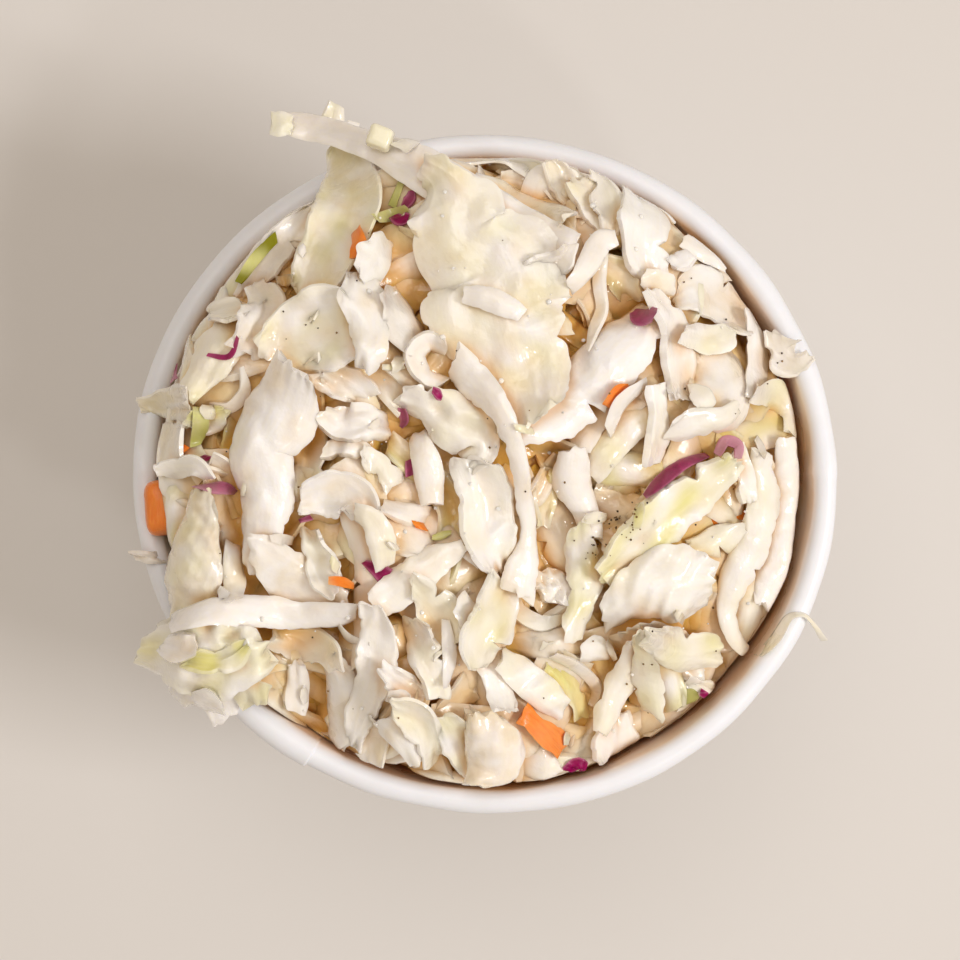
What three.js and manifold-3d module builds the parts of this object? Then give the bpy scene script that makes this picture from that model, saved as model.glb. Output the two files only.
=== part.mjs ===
// A paper food tub heaped with coleslaw. Millimetres, +Z up.
// The origin is the centre of the tub's foot, on the surface that the tub stands on.
import * as THREE from "three";
import Module from "manifold-3d";
import { mergeVertices } from "three/addons/utils/BufferGeometryUtils.js";

const wasm = await Module();
wasm.setup();

// The tub: a rolled lip over a tapered paper wall, and a base set up inside a folded foot.
const tub = {
  height: 60,
  lipRadius: 45,
  lipRoll: 1.6,
  rollStart: -120,
  rollSteps: 12,
  neck: 0.4,
  wall: 0.5,
  footRadius: 35,
  footDepth: 5,
  footWall: 1.4,
  baseThickness: 0.6,
  segments: 72,
};

// A full paper tub is a little out of round at its lip, and round where the base holds it.
const squeeze = {
  oval: 0.02,
  ovalTurn: THREE.MathUtils.degToRad(-8.8),
  bulge: 0.0047,
  bulgeTurn: THREE.MathUtils.degToRad(77.6),
  rise: 1.5,
};

// The coleslaw: a leaning mound that meets the wall below the lip, with one deep trough beside it.
const slaw = {
  gap: 0.3,
  crest: 11,
  crestLean: 6,
  leanTurn: THREE.MathUtils.degToRad(124),
  steepness: 3.4,
  shoulder: 0.55,
  edgeDepth: 8,
  edgeLean: 4,
  rings: 25,
};
const trough = {
  turn: THREE.MathUtils.degToRad(-43),
  halfAngle: THREE.MathUtils.degToRad(28),
  flatness: 4,
  radius: 42,
  halfWidth: 7.2,
  depth: 17,
};
// Shreds and flakes show on the mound as long low bumps, spread on a sunflower spiral.
const shreds = {
  count: 75,
  lengths: [6, 11],
  widths: [2.8, 4.6],
  heights: [1.5, 4.2],
  edgeFade: 12,
};
// The strands that hang out past the lip, each from its root in the mound to its tip.
const overhangs = [
  {
    path: [[6, 26, 70], [-6, 37, 71], [-15, 42, 70.5], [-25, 43.6, 69]],
    width: 4.6,
    thickness: 2.4,
    arch: 0.5,
    taper: 0.75,
  },
  {
    path: [[-21, 20, 68], [-20.5, 32, 68], [-20, 39, 67], [-19.5, 44.2, 68]],
    width: 10,
    thickness: 1.6,
    arch: 1.2,
    taper: 0.3,
  },
  {
    path: [[-20, -14, 63], [-28, -18, 64], [-35, -21, 63.4], [-40.5, -23.5, 61.6]],
    width: 13,
    thickness: 2,
    arch: 1.5,
    taper: 0.5,
  },
  {
    path: [[-20, -17, 63], [-26, -22, 64], [-32, -26.5, 63], [-35.5, -30.5, 61.6]],
    width: 12,
    thickness: 1.8,
    arch: 1.2,
    taper: 0.45,
  },
  {
    path: [[20, -17, 61.5], [29, -18.8, 61.8], [36, -18.3, 62.4], [40.5, -17.8, 62], [43.5, -21, 61]],
    width: 1.8,
    thickness: 1,
    arch: 0.1,
    taper: 0.6,
  },
  {
    path: [[-30, 8, 62], [-37, 8.5, 62.8], [-43, 9.2, 61.6]],
    width: 5,
    thickness: 1.6,
    arch: 0.5,
    taper: 0.6,
  },
  {
    path: [[28, 12, 62], [35, 13.5, 63], [41.5, 14.4, 61.4]],
    width: 4.4,
    thickness: 1.6,
    arch: 0.4,
    taper: 0.7,
  },
];
const strandCuts = { along: 14, across: 4, edgeShare: 0.6 };

const lipCentre = tub.height - tub.lipRoll;
const wallTopRadius = tub.lipRadius - 2 * tub.lipRoll;
const goldenAngle = Math.PI * (3 - Math.sqrt(5));

// The wall's inner radius at a height, before the squeeze: a straight taper.
function innerRadius(z) {
  return THREE.MathUtils.mapLinear(z, 0, lipCentre, tub.footRadius - tub.wall, wallTopRadius);
}

// How much wider than round the tub is in one direction at a height.
function outOfRound(turn, z) {
  const share = Math.pow(THREE.MathUtils.clamp(z / tub.height, 0, 1), squeeze.rise);
  const oval = squeeze.oval * Math.cos(2 * (turn - squeeze.ovalTurn));
  const bulge = squeeze.bulge * Math.cos(3 * (turn - squeeze.bulgeTurn));
  return 1 + share * (oval + bulge);
}

// A number from 0 to 1 that is scattered but the same every time.
function scatter(index, salt) {
  const value = Math.sin(index * 12.9898 + salt * 78.233) * 43758.5453;
  return value - Math.floor(value);
}

function between([low, high], share) {
  return THREE.MathUtils.lerp(low, high, share);
}

// A profile turned about Z, with every vertex then moved by a function of its place.
function turned(profile, segments, reshape) {
  const geometry = new THREE.LatheGeometry(profile, segments).rotateX(Math.PI / 2);
  const position = geometry.getAttribute("position");
  const point = new THREE.Vector3();
  for (let i = 0; i < position.count; i++) {
    reshape(point.fromBufferAttribute(position, i));
    position.setXYZ(i, point.x, point.y, point.z);
  }
  return geometry;
}

function squeezed(point) {
  const wider = outOfRound(Math.atan2(point.y, point.x), point.z);
  point.x *= wider;
  point.y *= wider;
  return point;
}

function arc(x, z, radius, from, to, steps) {
  const points = [];
  for (let i = 0; i <= steps; i++) {
    const turn = THREE.MathUtils.degToRad(THREE.MathUtils.lerp(from, to, i / steps));
    points.push(new THREE.Vector2(x + radius * Math.cos(turn), z + radius * Math.sin(turn)));
  }
  return points;
}

// Up the outside from under the base, round the rolled lip, and down the inside to the base.
function makeTub() {
  const footInner = tub.footRadius - tub.footWall;
  const lipX = tub.lipRadius - tub.lipRoll;
  const floorTop = tub.footDepth + tub.baseThickness;
  const wallUnderLip = lipCentre - tub.lipRoll - tub.neck;
  const profile = [
    new THREE.Vector2(0, tub.footDepth),
    new THREE.Vector2(footInner, tub.footDepth),
    new THREE.Vector2(footInner, 0),
    new THREE.Vector2(tub.footRadius, 0),
    new THREE.Vector2(innerRadius(wallUnderLip) + tub.wall, wallUnderLip),
    ...arc(lipX, lipCentre, tub.lipRoll, tub.rollStart, 180, tub.rollSteps),
    new THREE.Vector2(innerRadius(0.5 * lipCentre), 0.5 * lipCentre),
    new THREE.Vector2(innerRadius(floorTop), floorTop),
    new THREE.Vector2(0, floorTop),
  ];
  return turned(profile, tub.segments, squeezed);
}

// One shred's bump: full height along its middle, falling away over its length and width.
function shredHeight(index, x, y) {
  const radius = wallTopRadius * Math.sqrt((index + 0.5) / shreds.count);
  const turn = index * goldenAngle;
  const lie = Math.PI * scatter(index, 1);
  const dx = x - radius * Math.cos(turn);
  const dy = y - radius * Math.sin(turn);
  const along = (dx * Math.cos(lie) + dy * Math.sin(lie)) / between(shreds.lengths, scatter(index, 2));
  const across = (dy * Math.cos(lie) - dx * Math.sin(lie)) / between(shreds.widths, scatter(index, 3));
  return between(shreds.heights, scatter(index, 4)) * Math.exp(-along * along - across * across);
}

// The mound's surface: a steep-sided dome that leans, its trough, and the highest shred at the spot.
function moundHeight(x, y) {
  const radius = Math.hypot(x, y);
  const turn = Math.atan2(y, x);
  const share = Math.min(1, radius / wallTopRadius);
  const lean = share * Math.cos(turn - slaw.leanTurn);
  const edge = tub.height - slaw.edgeDepth + slaw.edgeLean * lean;
  const crest = tub.height + slaw.crest + slaw.crestLean * lean;
  const rise = Math.pow(1 - Math.pow(share, slaw.steepness), slaw.shoulder);
  const fromTrough = Math.atan2(Math.sin(turn - trough.turn), Math.cos(turn - trough.turn));
  const along = Math.pow(fromTrough / trough.halfAngle, trough.flatness);
  const across = Math.pow((radius - trough.radius) / trough.halfWidth, 2);
  let shred = 0;
  for (let i = 0; i < shreds.count; i++) {
    shred = Math.max(shred, shredHeight(i, x, y));
  }
  shred *= 1 - Math.pow(share, shreds.edgeFade);
  return THREE.MathUtils.lerp(edge, crest, rise) - trough.depth * Math.exp(-along - across) + shred;
}

// The mound fills the tub to its wall, and its top rings follow the mound's surface.
function makeMound() {
  const bottom = tub.footDepth + tub.baseThickness + slaw.gap;
  const sideTop = tub.height - slaw.edgeDepth - slaw.edgeLean - trough.depth;
  const moundRadius = wallTopRadius - slaw.gap;
  const profile = [
    new THREE.Vector2(0, bottom),
    new THREE.Vector2(innerRadius(bottom) - slaw.gap, bottom),
    new THREE.Vector2(innerRadius(sideTop) - slaw.gap, sideTop),
  ];
  for (let i = slaw.rings; i >= 0; i--) {
    profile.push(new THREE.Vector2(moundRadius * i / slaw.rings, tub.height));
  }
  return turned(profile, tub.segments, (point) => {
    if (point.z < tub.height) {
      return squeezed(point);
    }
    point.z = moundHeight(point.x, point.y);
    const reach = innerRadius(Math.min(point.z, lipCentre)) - slaw.gap;
    point.x *= reach / moundRadius;
    point.y *= reach / moundRadius;
    return squeezed(point);
  });
}

// A strand: a box bent along a curve, arched across, tapering from its root to its tip.
function makeStrand({ path, width, thickness, arch, taper }) {
  const curve = new THREE.CatmullRomCurve3(path.map((p) => new THREE.Vector3(...p)));
  const geometry = new THREE.BoxGeometry(1, 1, 1, strandCuts.along, strandCuts.across, 1);
  const position = geometry.getAttribute("position");
  const up = new THREE.Vector3(0, 0, 1);
  for (let i = 0; i < position.count; i++) {
    const along = THREE.MathUtils.clamp(position.getX(i) + 0.5, 0, 1);
    const narrow = THREE.MathUtils.lerp(1, taper, along);
    const middle = 1 - Math.pow(2 * position.getY(i), 2);
    const depth = thickness * THREE.MathUtils.lerp(strandCuts.edgeShare, 1, middle);
    const tangent = curve.getTangent(along);
    const side = new THREE.Vector3().crossVectors(up, tangent).normalize();
    const normal = new THREE.Vector3().crossVectors(tangent, side);
    const place = curve.getPoint(along);
    place.addScaledVector(side, position.getY(i) * width * narrow);
    place.addScaledVector(normal, position.getZ(i) * depth + arch * narrow * middle);
    position.setXYZ(i, place.x, place.y, place.z);
  }
  return geometry;
}

// Three.js geometry as a solid for joining, and a joined solid back as geometry.
function toSolid(geometry) {
  const bare = geometry.clone();
  bare.deleteAttribute("normal");
  bare.deleteAttribute("uv");
  const merged = mergeVertices(bare, 1e-4);
  const mesh = new wasm.Mesh({
    numProp: 3,
    vertProperties: merged.getAttribute("position").array,
    triVerts: new Uint32Array(merged.index.array),
  });
  return new wasm.Manifold(mesh);
}

function toGeometry(solid) {
  const { vertProperties, triVerts } = solid.getMesh();
  const geometry = new THREE.BufferGeometry();
  geometry.setAttribute("position", new THREE.BufferAttribute(vertProperties, 3));
  geometry.setIndex(new THREE.BufferAttribute(triVerts, 1));
  geometry.computeVertexNormals();
  return geometry;
}

function makeSlaw() {
  let whole = toSolid(makeMound());
  for (const strand of overhangs) {
    whole = whole.add(toSolid(makeStrand(strand)));
  }
  return toGeometry(whole);
}

const coatedPaper = new THREE.MeshStandardMaterial({ color: 0xf4f2f0, roughness: 0.45, metalness: 0 });
const dressedCabbage = new THREE.MeshStandardMaterial({ color: 0xf0e6cf, roughness: 0.35, metalness: 0 });

function part(name, geometry, material) {
  const mesh = new THREE.Mesh(geometry, material);
  mesh.name = name;
  return mesh;
}

const tubOfSlaw = new THREE.Group();
tubOfSlaw.add(part("tub", makeTub(), coatedPaper));
tubOfSlaw.add(part("coleslaw", makeSlaw(), dressedCabbage));

export default tubOfSlaw;
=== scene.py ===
import bpy
import numpy as np
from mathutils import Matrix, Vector
from mathutils.bvhtree import BVHTree


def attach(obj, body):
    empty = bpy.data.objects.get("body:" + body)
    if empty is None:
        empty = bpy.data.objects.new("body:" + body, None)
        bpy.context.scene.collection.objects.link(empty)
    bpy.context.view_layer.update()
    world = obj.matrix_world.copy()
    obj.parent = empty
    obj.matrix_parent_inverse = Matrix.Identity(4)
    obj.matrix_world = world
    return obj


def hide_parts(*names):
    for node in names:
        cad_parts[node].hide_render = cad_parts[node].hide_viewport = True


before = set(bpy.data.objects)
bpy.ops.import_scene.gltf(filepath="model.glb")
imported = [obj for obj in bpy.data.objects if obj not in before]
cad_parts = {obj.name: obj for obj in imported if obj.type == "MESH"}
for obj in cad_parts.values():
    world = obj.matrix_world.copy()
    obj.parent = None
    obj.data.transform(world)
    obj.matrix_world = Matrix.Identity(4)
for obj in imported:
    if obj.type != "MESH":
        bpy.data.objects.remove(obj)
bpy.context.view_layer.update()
print("the packed model is in")

# Shapes are worked out in millimetres in the row frame, and newPiece turns them to metres.
tub = {
    "height": 60.0,
    "lipRadius": 45.0,
    "lipRoll": 1.6,
    "wall": 0.5,
    "footRadius": 35.0,
    "footDepth": 5.0,
    "footWall": 1.4,
    "base": 0.6,
    "oval": 0.02,
    "ovalTurn": np.radians(-8.8),
    "bulge": 0.0047,
    "bulgeTurn": np.radians(77.6),
    "rise": 1.5,
    "seamTurn": np.radians(238.4),  # where one end of the wrapped wall laps over the other
    "seamStep": 0.38,
    "seamLap": 9.0,
    "seamSoft": 0.22,
    "midRadius": 42.0,
    "knurls": 96,
    "around": 300,
}
lipCentre = tub["height"] - tub["lipRoll"]
wallTop = tub["lipRadius"] - 2 * tub["lipRoll"]


def linear(hexColour):
    # an sRGB hex colour as linear red, green, blue and alpha
    value = np.array([int(hexColour[i : i + 2], 16) / 255 for i in (1, 3, 5)])
    low, high = value / 12.92, ((value + 0.055) / 1.055) ** 2.4
    return (*np.where(value <= 0.04045, low, high), 1.0)


def put(tree, kind, inputs=None, **settings):
    # adds one node, with its settings and its inputs, which are values or links from other nodes
    node = tree.nodes.new(kind)
    for key, value in settings.items():
        setattr(node, key, value)
    for key, value in (inputs or {}).items():
        if isinstance(value, bpy.types.NodeSocket):
            tree.links.new(value, node.inputs[key])
        else:
            node.inputs[key].default_value = value
    return node


def newMaterial(name):
    material = bpy.data.materials.new(name)
    material.use_nodes = True
    material.node_tree.nodes.clear()
    return material, material.node_tree


def ripple(a, b, length, seed):
    # smooth noise, about -1 to 1: the mean of ten sine waves of random turns and nearly one wavelength
    rng = np.random.default_rng(seed)
    turn, phase = rng.uniform(0, 2 * np.pi, (2, 10))
    pace = 2 * np.pi / length * rng.uniform(0.55, 1.6, 10)
    angle = a[..., None] * pace * np.cos(turn) + b[..., None] * pace * np.sin(turn) + phase
    return np.sin(angle).mean(-1) * 2.2


def between(low, high, share):
    return low + (high - low) * share


def smoothStep(low, high, value):
    share = np.clip((value - low) / (high - low), 0, 1)
    return share * share * (3 - 2 * share)


def innerRadius(z):
    # the wall's inner radius at a height, before it is squeezed: a straight taper
    return between(tub["footRadius"] - tub["wall"], wallTop, z / lipCentre)


def outOfRound(turn, z):
    # how much wider than round the tub is at a turn and height: an oval and a three-sided bulge
    share = np.clip(z / tub["height"], 0, 1) ** tub["rise"]
    oval = tub["oval"] * np.cos(2 * (turn - tub["ovalTurn"]))
    bulge = tub["bulge"] * np.cos(3 * (turn - tub["bulgeTurn"]))
    return 1 + share * (oval + bulge)


def insideWall(x, y, most):
    # draws points that lie past a radius in to it, smoothly over the last two millimetres
    turn, distance = np.arctan2(y, x), np.maximum(np.hypot(x, y), 1e-6)
    limit = most * outOfRound(turn, tub["height"])
    past = distance - limit + 2
    drawn = np.where(past > 0, limit - 2 + 2 * (1 - np.exp(-np.maximum(past, 0) / 2)), distance)
    return x * drawn / distance, y * drawn / distance


def newPiece(name, shapes, material, sharp=None):
    # joins closed shapes, each rows of rings with a pole at both ends, into one mesh in metres
    points, corners, sizes, values = [], [], [], {}
    start = 0
    for shape in shapes:
        ring = shape["points"]
        rows, steps = ring.shape[:2]
        flat = ring.reshape(-1, 3)
        poles = np.array([ring[0].mean(0), ring[-1].mean(0)])
        block = np.vstack([flat, poles])
        row, step = np.meshgrid(np.arange(rows - 1), np.arange(steps), indexing="ij")
        after = (step + 1) % steps
        quads = np.stack([row * steps + step, row * steps + after,
                          (row + 1) * steps + after, (row + 1) * steps + step], -1).reshape(-1, 4)
        each = np.arange(steps)
        behind = (each + 1) % steps
        last = (rows - 1) * steps
        caps = np.vstack([
            np.stack([behind, each, np.full(steps, rows * steps)], -1),
            np.stack([last + each, last + behind, np.full(steps, rows * steps + 1)], -1),
        ])
        a, b, c, d = (block[quads[:, i]] for i in range(4))
        volume = (np.einsum("ij,ij->i", a, np.cross(b, c)).sum()
                  + np.einsum("ij,ij->i", a, np.cross(c, d)).sum())
        if volume < 0:
            quads, caps = quads[:, ::-1], caps[:, ::-1]
        points.append(block)
        corners += [quads.ravel() + start, caps.ravel() + start]
        sizes += [np.full(len(quads), 4), np.full(len(caps), 3)]
        for key, value in shape.get("values", {}).items():
            width = value.shape[2:]
            ends = np.stack([value[0].mean(0), value[-1].mean(0)])
            values.setdefault(key, []).append(np.concatenate([value.reshape(-1, *width), ends]))
        start += len(block)
    points, corners, sizes = np.concatenate(points), np.concatenate(corners), np.concatenate(sizes)
    mesh = bpy.data.meshes.new(name)
    mesh.vertices.add(len(points))
    mesh.vertices.foreach_set("co", (points / 1000).astype(np.float32).ravel())
    mesh.loops.add(len(corners))
    mesh.loops.foreach_set("vertex_index", corners.astype(np.int32))
    mesh.polygons.add(len(sizes))
    mesh.polygons.foreach_set("loop_start", np.concatenate([[0], np.cumsum(sizes)[:-1]]).astype(np.int32))
    mesh.update(calc_edges=True)
    mesh.polygons.foreach_set("use_smooth", np.ones(len(sizes), bool))
    if sharp:
        mesh.set_sharp_from_angle(angle=np.radians(sharp))
    for key, parts in values.items():
        data = np.concatenate(parts).astype(np.float32)
        kind = "FLOAT_VECTOR" if data.ndim == 2 else "FLOAT"
        made = mesh.attributes.new(key, kind, "POINT")
        made.data.foreach_set("vector" if data.ndim == 2 else "value", data.ravel())
    mesh.materials.append(material)
    piece = bpy.data.objects.new(name, mesh)
    bpy.context.scene.collection.objects.link(piece)
    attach(piece, "root")
    faces = int((sizes - 2).sum())
    print(f"{name}: {len(shapes)} shapes, {faces} triangles")
    return piece


# the paper tub
def arc(x, z, radius, start, end, steps):
    turn = np.radians(np.linspace(start, end, steps))
    return np.stack([x + radius * np.cos(turn), z + radius * np.sin(turn)], -1)


def line(start, end, steps):
    return np.linspace(start, end, steps)[1:]


def paperTub():
    # a profile carried round the axis: from under the base down the foot's inside, up the outside,
    # round the rolled lip, down the inside and over the base, then squeezed out of round
    footIn = tub["footRadius"] - tub["footWall"]
    floor = tub["footDepth"] + tub["base"]
    neck = lipCentre - 0.62 * tub["lipRoll"]
    neckRadius = innerRadius(neck) + tub["wall"]
    profile = np.vstack([
        line((0.5, tub["footDepth"]), (footIn - 0.6, tub["footDepth"]), 14),
        arc(footIn - 0.5, tub["footDepth"] - 0.5, 0.5, 90, 0, 5),
        line((footIn, tub["footDepth"] - 0.5), (footIn, 0.4), 8),
        arc(footIn + 0.35, 0.35, 0.35, 180, 270, 5),
        arc(tub["footRadius"] - 0.35, 0.35, 0.35, 270, 360, 5),
        line((tub["footRadius"], 0.5), (neckRadius, neck), 40),
        arc(tub["lipRadius"] - tub["lipRoll"], lipCentre, tub["lipRoll"], -152, 172, 44),
        line((innerRadius(lipCentre - 0.4), lipCentre - 0.4), (innerRadius(floor + 0.6), floor + 0.6), 44),
        line((innerRadius(floor), floor), (0.5, floor), 12),
    ])
    step = np.gradient(profile, axis=0)
    out = np.stack([step[:, 1], -step[:, 0]], -1)
    out /= np.linalg.norm(out, axis=1, keepdims=True)
    even = np.linspace(0, 2 * np.pi, tub["around"], endpoint=False)
    lapStart = tub["seamTurn"] + np.linspace(-0.012, 0.012, 17)
    lapEnd = tub["seamTurn"] - tub["seamLap"] / tub["midRadius"] + np.linspace(-0.012, 0.012, 17)
    turn = np.sort(np.concatenate([even, lapStart, lapEnd]))
    # the wall laps over itself: the outside steps up at the seam and sinks back past the hidden edge
    past = (tub["seamTurn"] - turn) * tub["midRadius"]
    lapWidth, soft = tub["seamLap"], tub["seamSoft"]
    outside = smoothStep(0, soft, past) * (1 - smoothStep(lapWidth, lapWidth + 7, past))
    inside = smoothStep(lapWidth, lapWidth - soft, past) * smoothStep(-7, 0, past)
    # rows of the profile where the outside wall starts, where the lip rolls over and where the inside ends
    rows = np.arange(len(profile))[:, None]
    wallFrom, lipOver, floorAt = (38, 42), (112, 122), (155, 160)
    isOuter = smoothStep(*wallFrom, rows) * (1 - smoothStep(*lipOver, rows))
    isInner = smoothStep(*lipOver, rows) * (1 - smoothStep(*floorAt, rows))
    lap = tub["seamStep"] * (isOuter * outside[None] + 0.8 * isInner * inside[None])
    girth = turn[None] * tub["midRadius"] + 0 * rows
    uneven = 0.10 * ripple(girth, 0.2 * rows + 0 * girth, 17, 5) * smoothStep(30, 60, rows)
    knurl = np.cos(tub["knurls"] * turn[None]) * smoothStep(13, 18, rows) * (1 - smoothStep(22, 26, rows))
    push = lap + uneven + 0.12 * knurl
    radius = profile[:, :1] + out[:, :1] * push
    z = profile[:, 1:] + out[:, 1:] * push
    lipRise = 0.22 * ripple(np.cos(turn) * tub["midRadius"], np.sin(turn) * tub["midRadius"], 60, 8)
    z = z + lipRise[None] * smoothStep(20, tub["height"], z)
    wide = outOfRound(turn[None], z)
    points = np.stack([radius * wide * np.cos(turn)[None], radius * wide * np.sin(turn)[None], z], -1)
    # the inside, from the lip's inner flank down, is marked for dressing smears and painted warm shade from
    # the slaw
    smearAndShade = smoothStep(109, 124, rows) * np.ones_like(z)
    lie = np.stack([girth, np.cumsum(np.full(len(profile), 1.2))[:, None] + 0 * z, 0 * z], -1)
    return {"points": points, "values": {"smearAndShade": smearAndShade, "lie": lie}}


def coatedPaperboard():
    # white cupstock board, wound and pressed, with a thin film of polyethylene: matt white with a soft
    # even shine, faint cloudy fibres, and a tan tint over the inside that is partly dried dressing and partly
    # painted shade
    material, tree = newMaterial("coated paperboard")
    place = put(tree, "ShaderNodeTexCoord")
    smearAndShade = put(tree, "ShaderNodeAttribute", attribute_name="smearAndShade")
    cloud = put(tree, "ShaderNodeTexNoise", {"Vector": place.outputs["Object"], "Scale": 420, "Detail": 3.0})
    fibre = put(tree, "ShaderNodeTexNoise", {"Vector": place.outputs["Object"], "Scale": 2600, "Detail": 2.0})
    smear = put(tree, "ShaderNodeTexNoise", {"Vector": place.outputs["Object"], "Scale": 95, "Detail": 4.0,
                                             "Roughness": 0.6})
    patch = put(tree, "ShaderNodeMapRange", {"Value": smear.outputs["Fac"], "From Min": 0.30,
                                             "From Max": 0.60})
    cover = put(tree, "ShaderNodeMapRange", {"Value": patch.outputs["Result"], "To Min": 0.45, "To Max": 1.0})
    film = put(tree, "ShaderNodeMath", {0: cover.outputs["Result"], 1: smearAndShade.outputs["Fac"]},
               operation="MULTIPLY")
    board = put(tree, "ShaderNodeMix", {0: cloud.outputs["Fac"], 6: linear("#EAECF0"), 7: linear("#F0F2F8")},
                data_type="RGBA")
    # painted shade and dressing smears: the inside is mixed toward tan, in patches and never below about half
    smearedAndShaded = put(tree, "ShaderNodeMix", {0: film.outputs[0], 6: board.outputs[2], 7: linear("#E9B675")},
                  data_type="RGBA")
    gloss = put(tree, "ShaderNodeMapRange", {"Value": film.outputs[0], "To Min": 0.46, "To Max": 0.2})
    uneven = put(tree, "ShaderNodeBump", {"Height": cloud.outputs["Fac"], "Strength": 0.10,
                                          "Distance": 0.0002})
    grain = put(tree, "ShaderNodeBump", {"Height": fibre.outputs["Fac"], "Strength": 0.12,
                                         "Distance": 0.00005, "Normal": uneven.outputs[0]})
    shader = put(tree, "ShaderNodeBsdfPrincipled", {
        "Base Color": smearedAndShaded.outputs[2], "Roughness": gloss.outputs[0], "Normal": grain.outputs[0],
        "IOR": 1.5, "Subsurface Weight": 0.15, "Subsurface Radius": (1.0, 0.8, 0.6),
        "Subsurface Scale": 0.0008, "Coat Weight": 0.25, "Coat Roughness": 0.25})
    put(tree, "ShaderNodeOutputMaterial", {"Surface": shader.outputs[0]})
    return material


tubPiece = newPiece("paper_tub", [paperTub()], coatedPaperboard(), sharp=60)
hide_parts("tub")


# the heap's height, a map over the plan that every shred rests on and adds to
plan = {"step": 0.4, "reach": 52.0, "coreDrop": 6.5, "coreLeast": 50.0, "smooth": 2.2, "eye": 320.0,
        "skip": 4}
axis = np.arange(-plan["reach"], plan["reach"] + plan["step"] / 2, plan["step"])
gridX, gridY = np.meshgrid(axis, axis, indexing="ij")
gridTurn = np.arctan2(gridY, gridX)
gridRound = np.hypot(gridX, gridY) / outOfRound(gridTurn, tub["height"])


def blurred(field, weight, spread):
    # a Gaussian blur that leaves out the points of no weight
    size = int(3 * spread / plan["step"])
    kernel = np.exp(-0.5 * (np.arange(-size, size + 1) * plan["step"] / spread) ** 2)
    total, share = field * weight, weight.astype(float)
    for _ in range(2):
        total = np.apply_along_axis(np.convolve, 0, total, kernel, "same").T
        share = np.apply_along_axis(np.convolve, 0, share, kernel, "same").T
    return total / np.maximum(share, 1e-6)


def moundMap():
    # the CAD heap's top, found by dropping a ray on every fourth point of the map
    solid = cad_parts["coleslaw"].data
    tree = BVHTree.FromPolygons([v.co for v in solid.vertices], [p.vertices for p in solid.polygons])
    found = np.zeros_like(gridX)
    weight = np.zeros_like(gridX)
    for i in range(0, len(axis), plan["skip"]):
        for j in range(0, len(axis), plan["skip"]):
            if gridRound[i, j] < wallTop - 1:
                hit = tree.ray_cast(Vector((axis[i] / 1000, axis[j] / 1000, 0.2)), Vector((0, 0, -1)))[0]
                if hit:
                    found[i, j] = hit.z * 1000
                    weight[i, j] = 1
    return blurred(found, weight, plan["smooth"])


mound = moundMap()
lumps = 1.1 * ripple(gridX, gridY, 5, 3) + 0.6 * ripple(gridX, gridY, 2.2, 4)
core = np.maximum(mound - plan["coreDrop"], plan["coreLeast"]) + lumps
overLip = np.where(gridRound < tub["lipRadius"], tub["height"], tub["height"] - 2.5)
heap = np.where(gridRound < wallTop, core, overLip)
print("the mound's map is in")


def heapAt(field, x, y):
    # the map's height at each point, bilinear
    u = np.clip((x + plan["reach"]) / plan["step"], 0, len(axis) - 1.001)
    v = np.clip((y + plan["reach"]) / plan["step"], 0, len(axis) - 1.001)
    i, j = u.astype(int), v.astype(int)
    a, b = u - i, v - j
    return ((1 - a) * (1 - b) * field[i, j] + a * (1 - b) * field[i + 1, j]
            + (1 - a) * b * field[i, j + 1] + a * b * field[i + 1, j + 1])


def raiseHeap(points):
    # lifts the map to a shape's surface, doubled up so that no map point is missed
    fine = np.concatenate([points, (points + np.roll(points, -1, 1)) / 2], 1)
    fine = np.concatenate([fine, (fine[1:] + fine[:-1]) / 2], 0).reshape(-1, 3)
    i = np.clip(np.rint((fine[:, 0] + plan["reach"]) / plan["step"]).astype(int), 0, len(axis) - 1)
    j = np.clip(np.rint((fine[:, 1] + plan["reach"]) / plan["step"]).astype(int), 0, len(axis) - 1)
    np.maximum.at(heap, (i, j), fine[:, 2])


def curveThrough(knots, share):
    # a smooth curve through rows of numbers: cubic pieces whose slopes are those between the neighbours
    knots = np.asarray(knots, float)
    at = np.concatenate([[0], np.cumsum(np.maximum(np.hypot(*np.diff(knots[:, :2], axis=0).T), 1e-3))])
    at /= at[-1]
    slope = np.gradient(knots, at, axis=0)
    k = np.clip(np.searchsorted(at, share, side="right") - 1, 0, len(at) - 2)
    gap = (at[k + 1] - at[k])[:, None]
    t = ((share - at[k]) / (at[k + 1] - at[k]))[:, None]
    return ((2 * t**3 - 3 * t**2 + 1) * knots[k] + (t**3 - 2 * t**2 + t) * gap * slope[k]
            + (3 * t**2 - 2 * t**3) * knots[k + 1] + (t**3 - t**2) * gap * slope[k + 1])


def restingSurface(x, y, along, across, stiff):
    # the height a stiff shred rests at: a low polynomial along it, tilted across it, fitted to the heap
    # so that nearly all of the heap under it is below
    under = heapAt(heap, x, y)
    order = int(np.clip(2 + stiff, 2, 6))
    columns = [np.polynomial.legendre.legval(2 * along - 1, np.eye(order + 1)[n]) for n in range(order + 1)]
    columns += [across * np.polynomial.legendre.legval(2 * along - 1, np.eye(3)[n]) for n in range(2)]
    matrix = np.stack([c.ravel() for c in columns], -1)
    target = under.ravel()
    fitted = np.full_like(target, target.mean())
    ridge = np.diag([0.0] + [0.02 * n * n * len(target) / 40 for n in range(1, order + 1)] + [0.6, 1.2])
    for _ in range(7):
        weight = np.where(target > fitted, 0.92, 0.08)
        found = np.linalg.solve(matrix.T @ (weight[:, None] * matrix) + ridge, matrix.T @ (weight * target))
        fitted = matrix @ found
    return found, order


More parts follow.
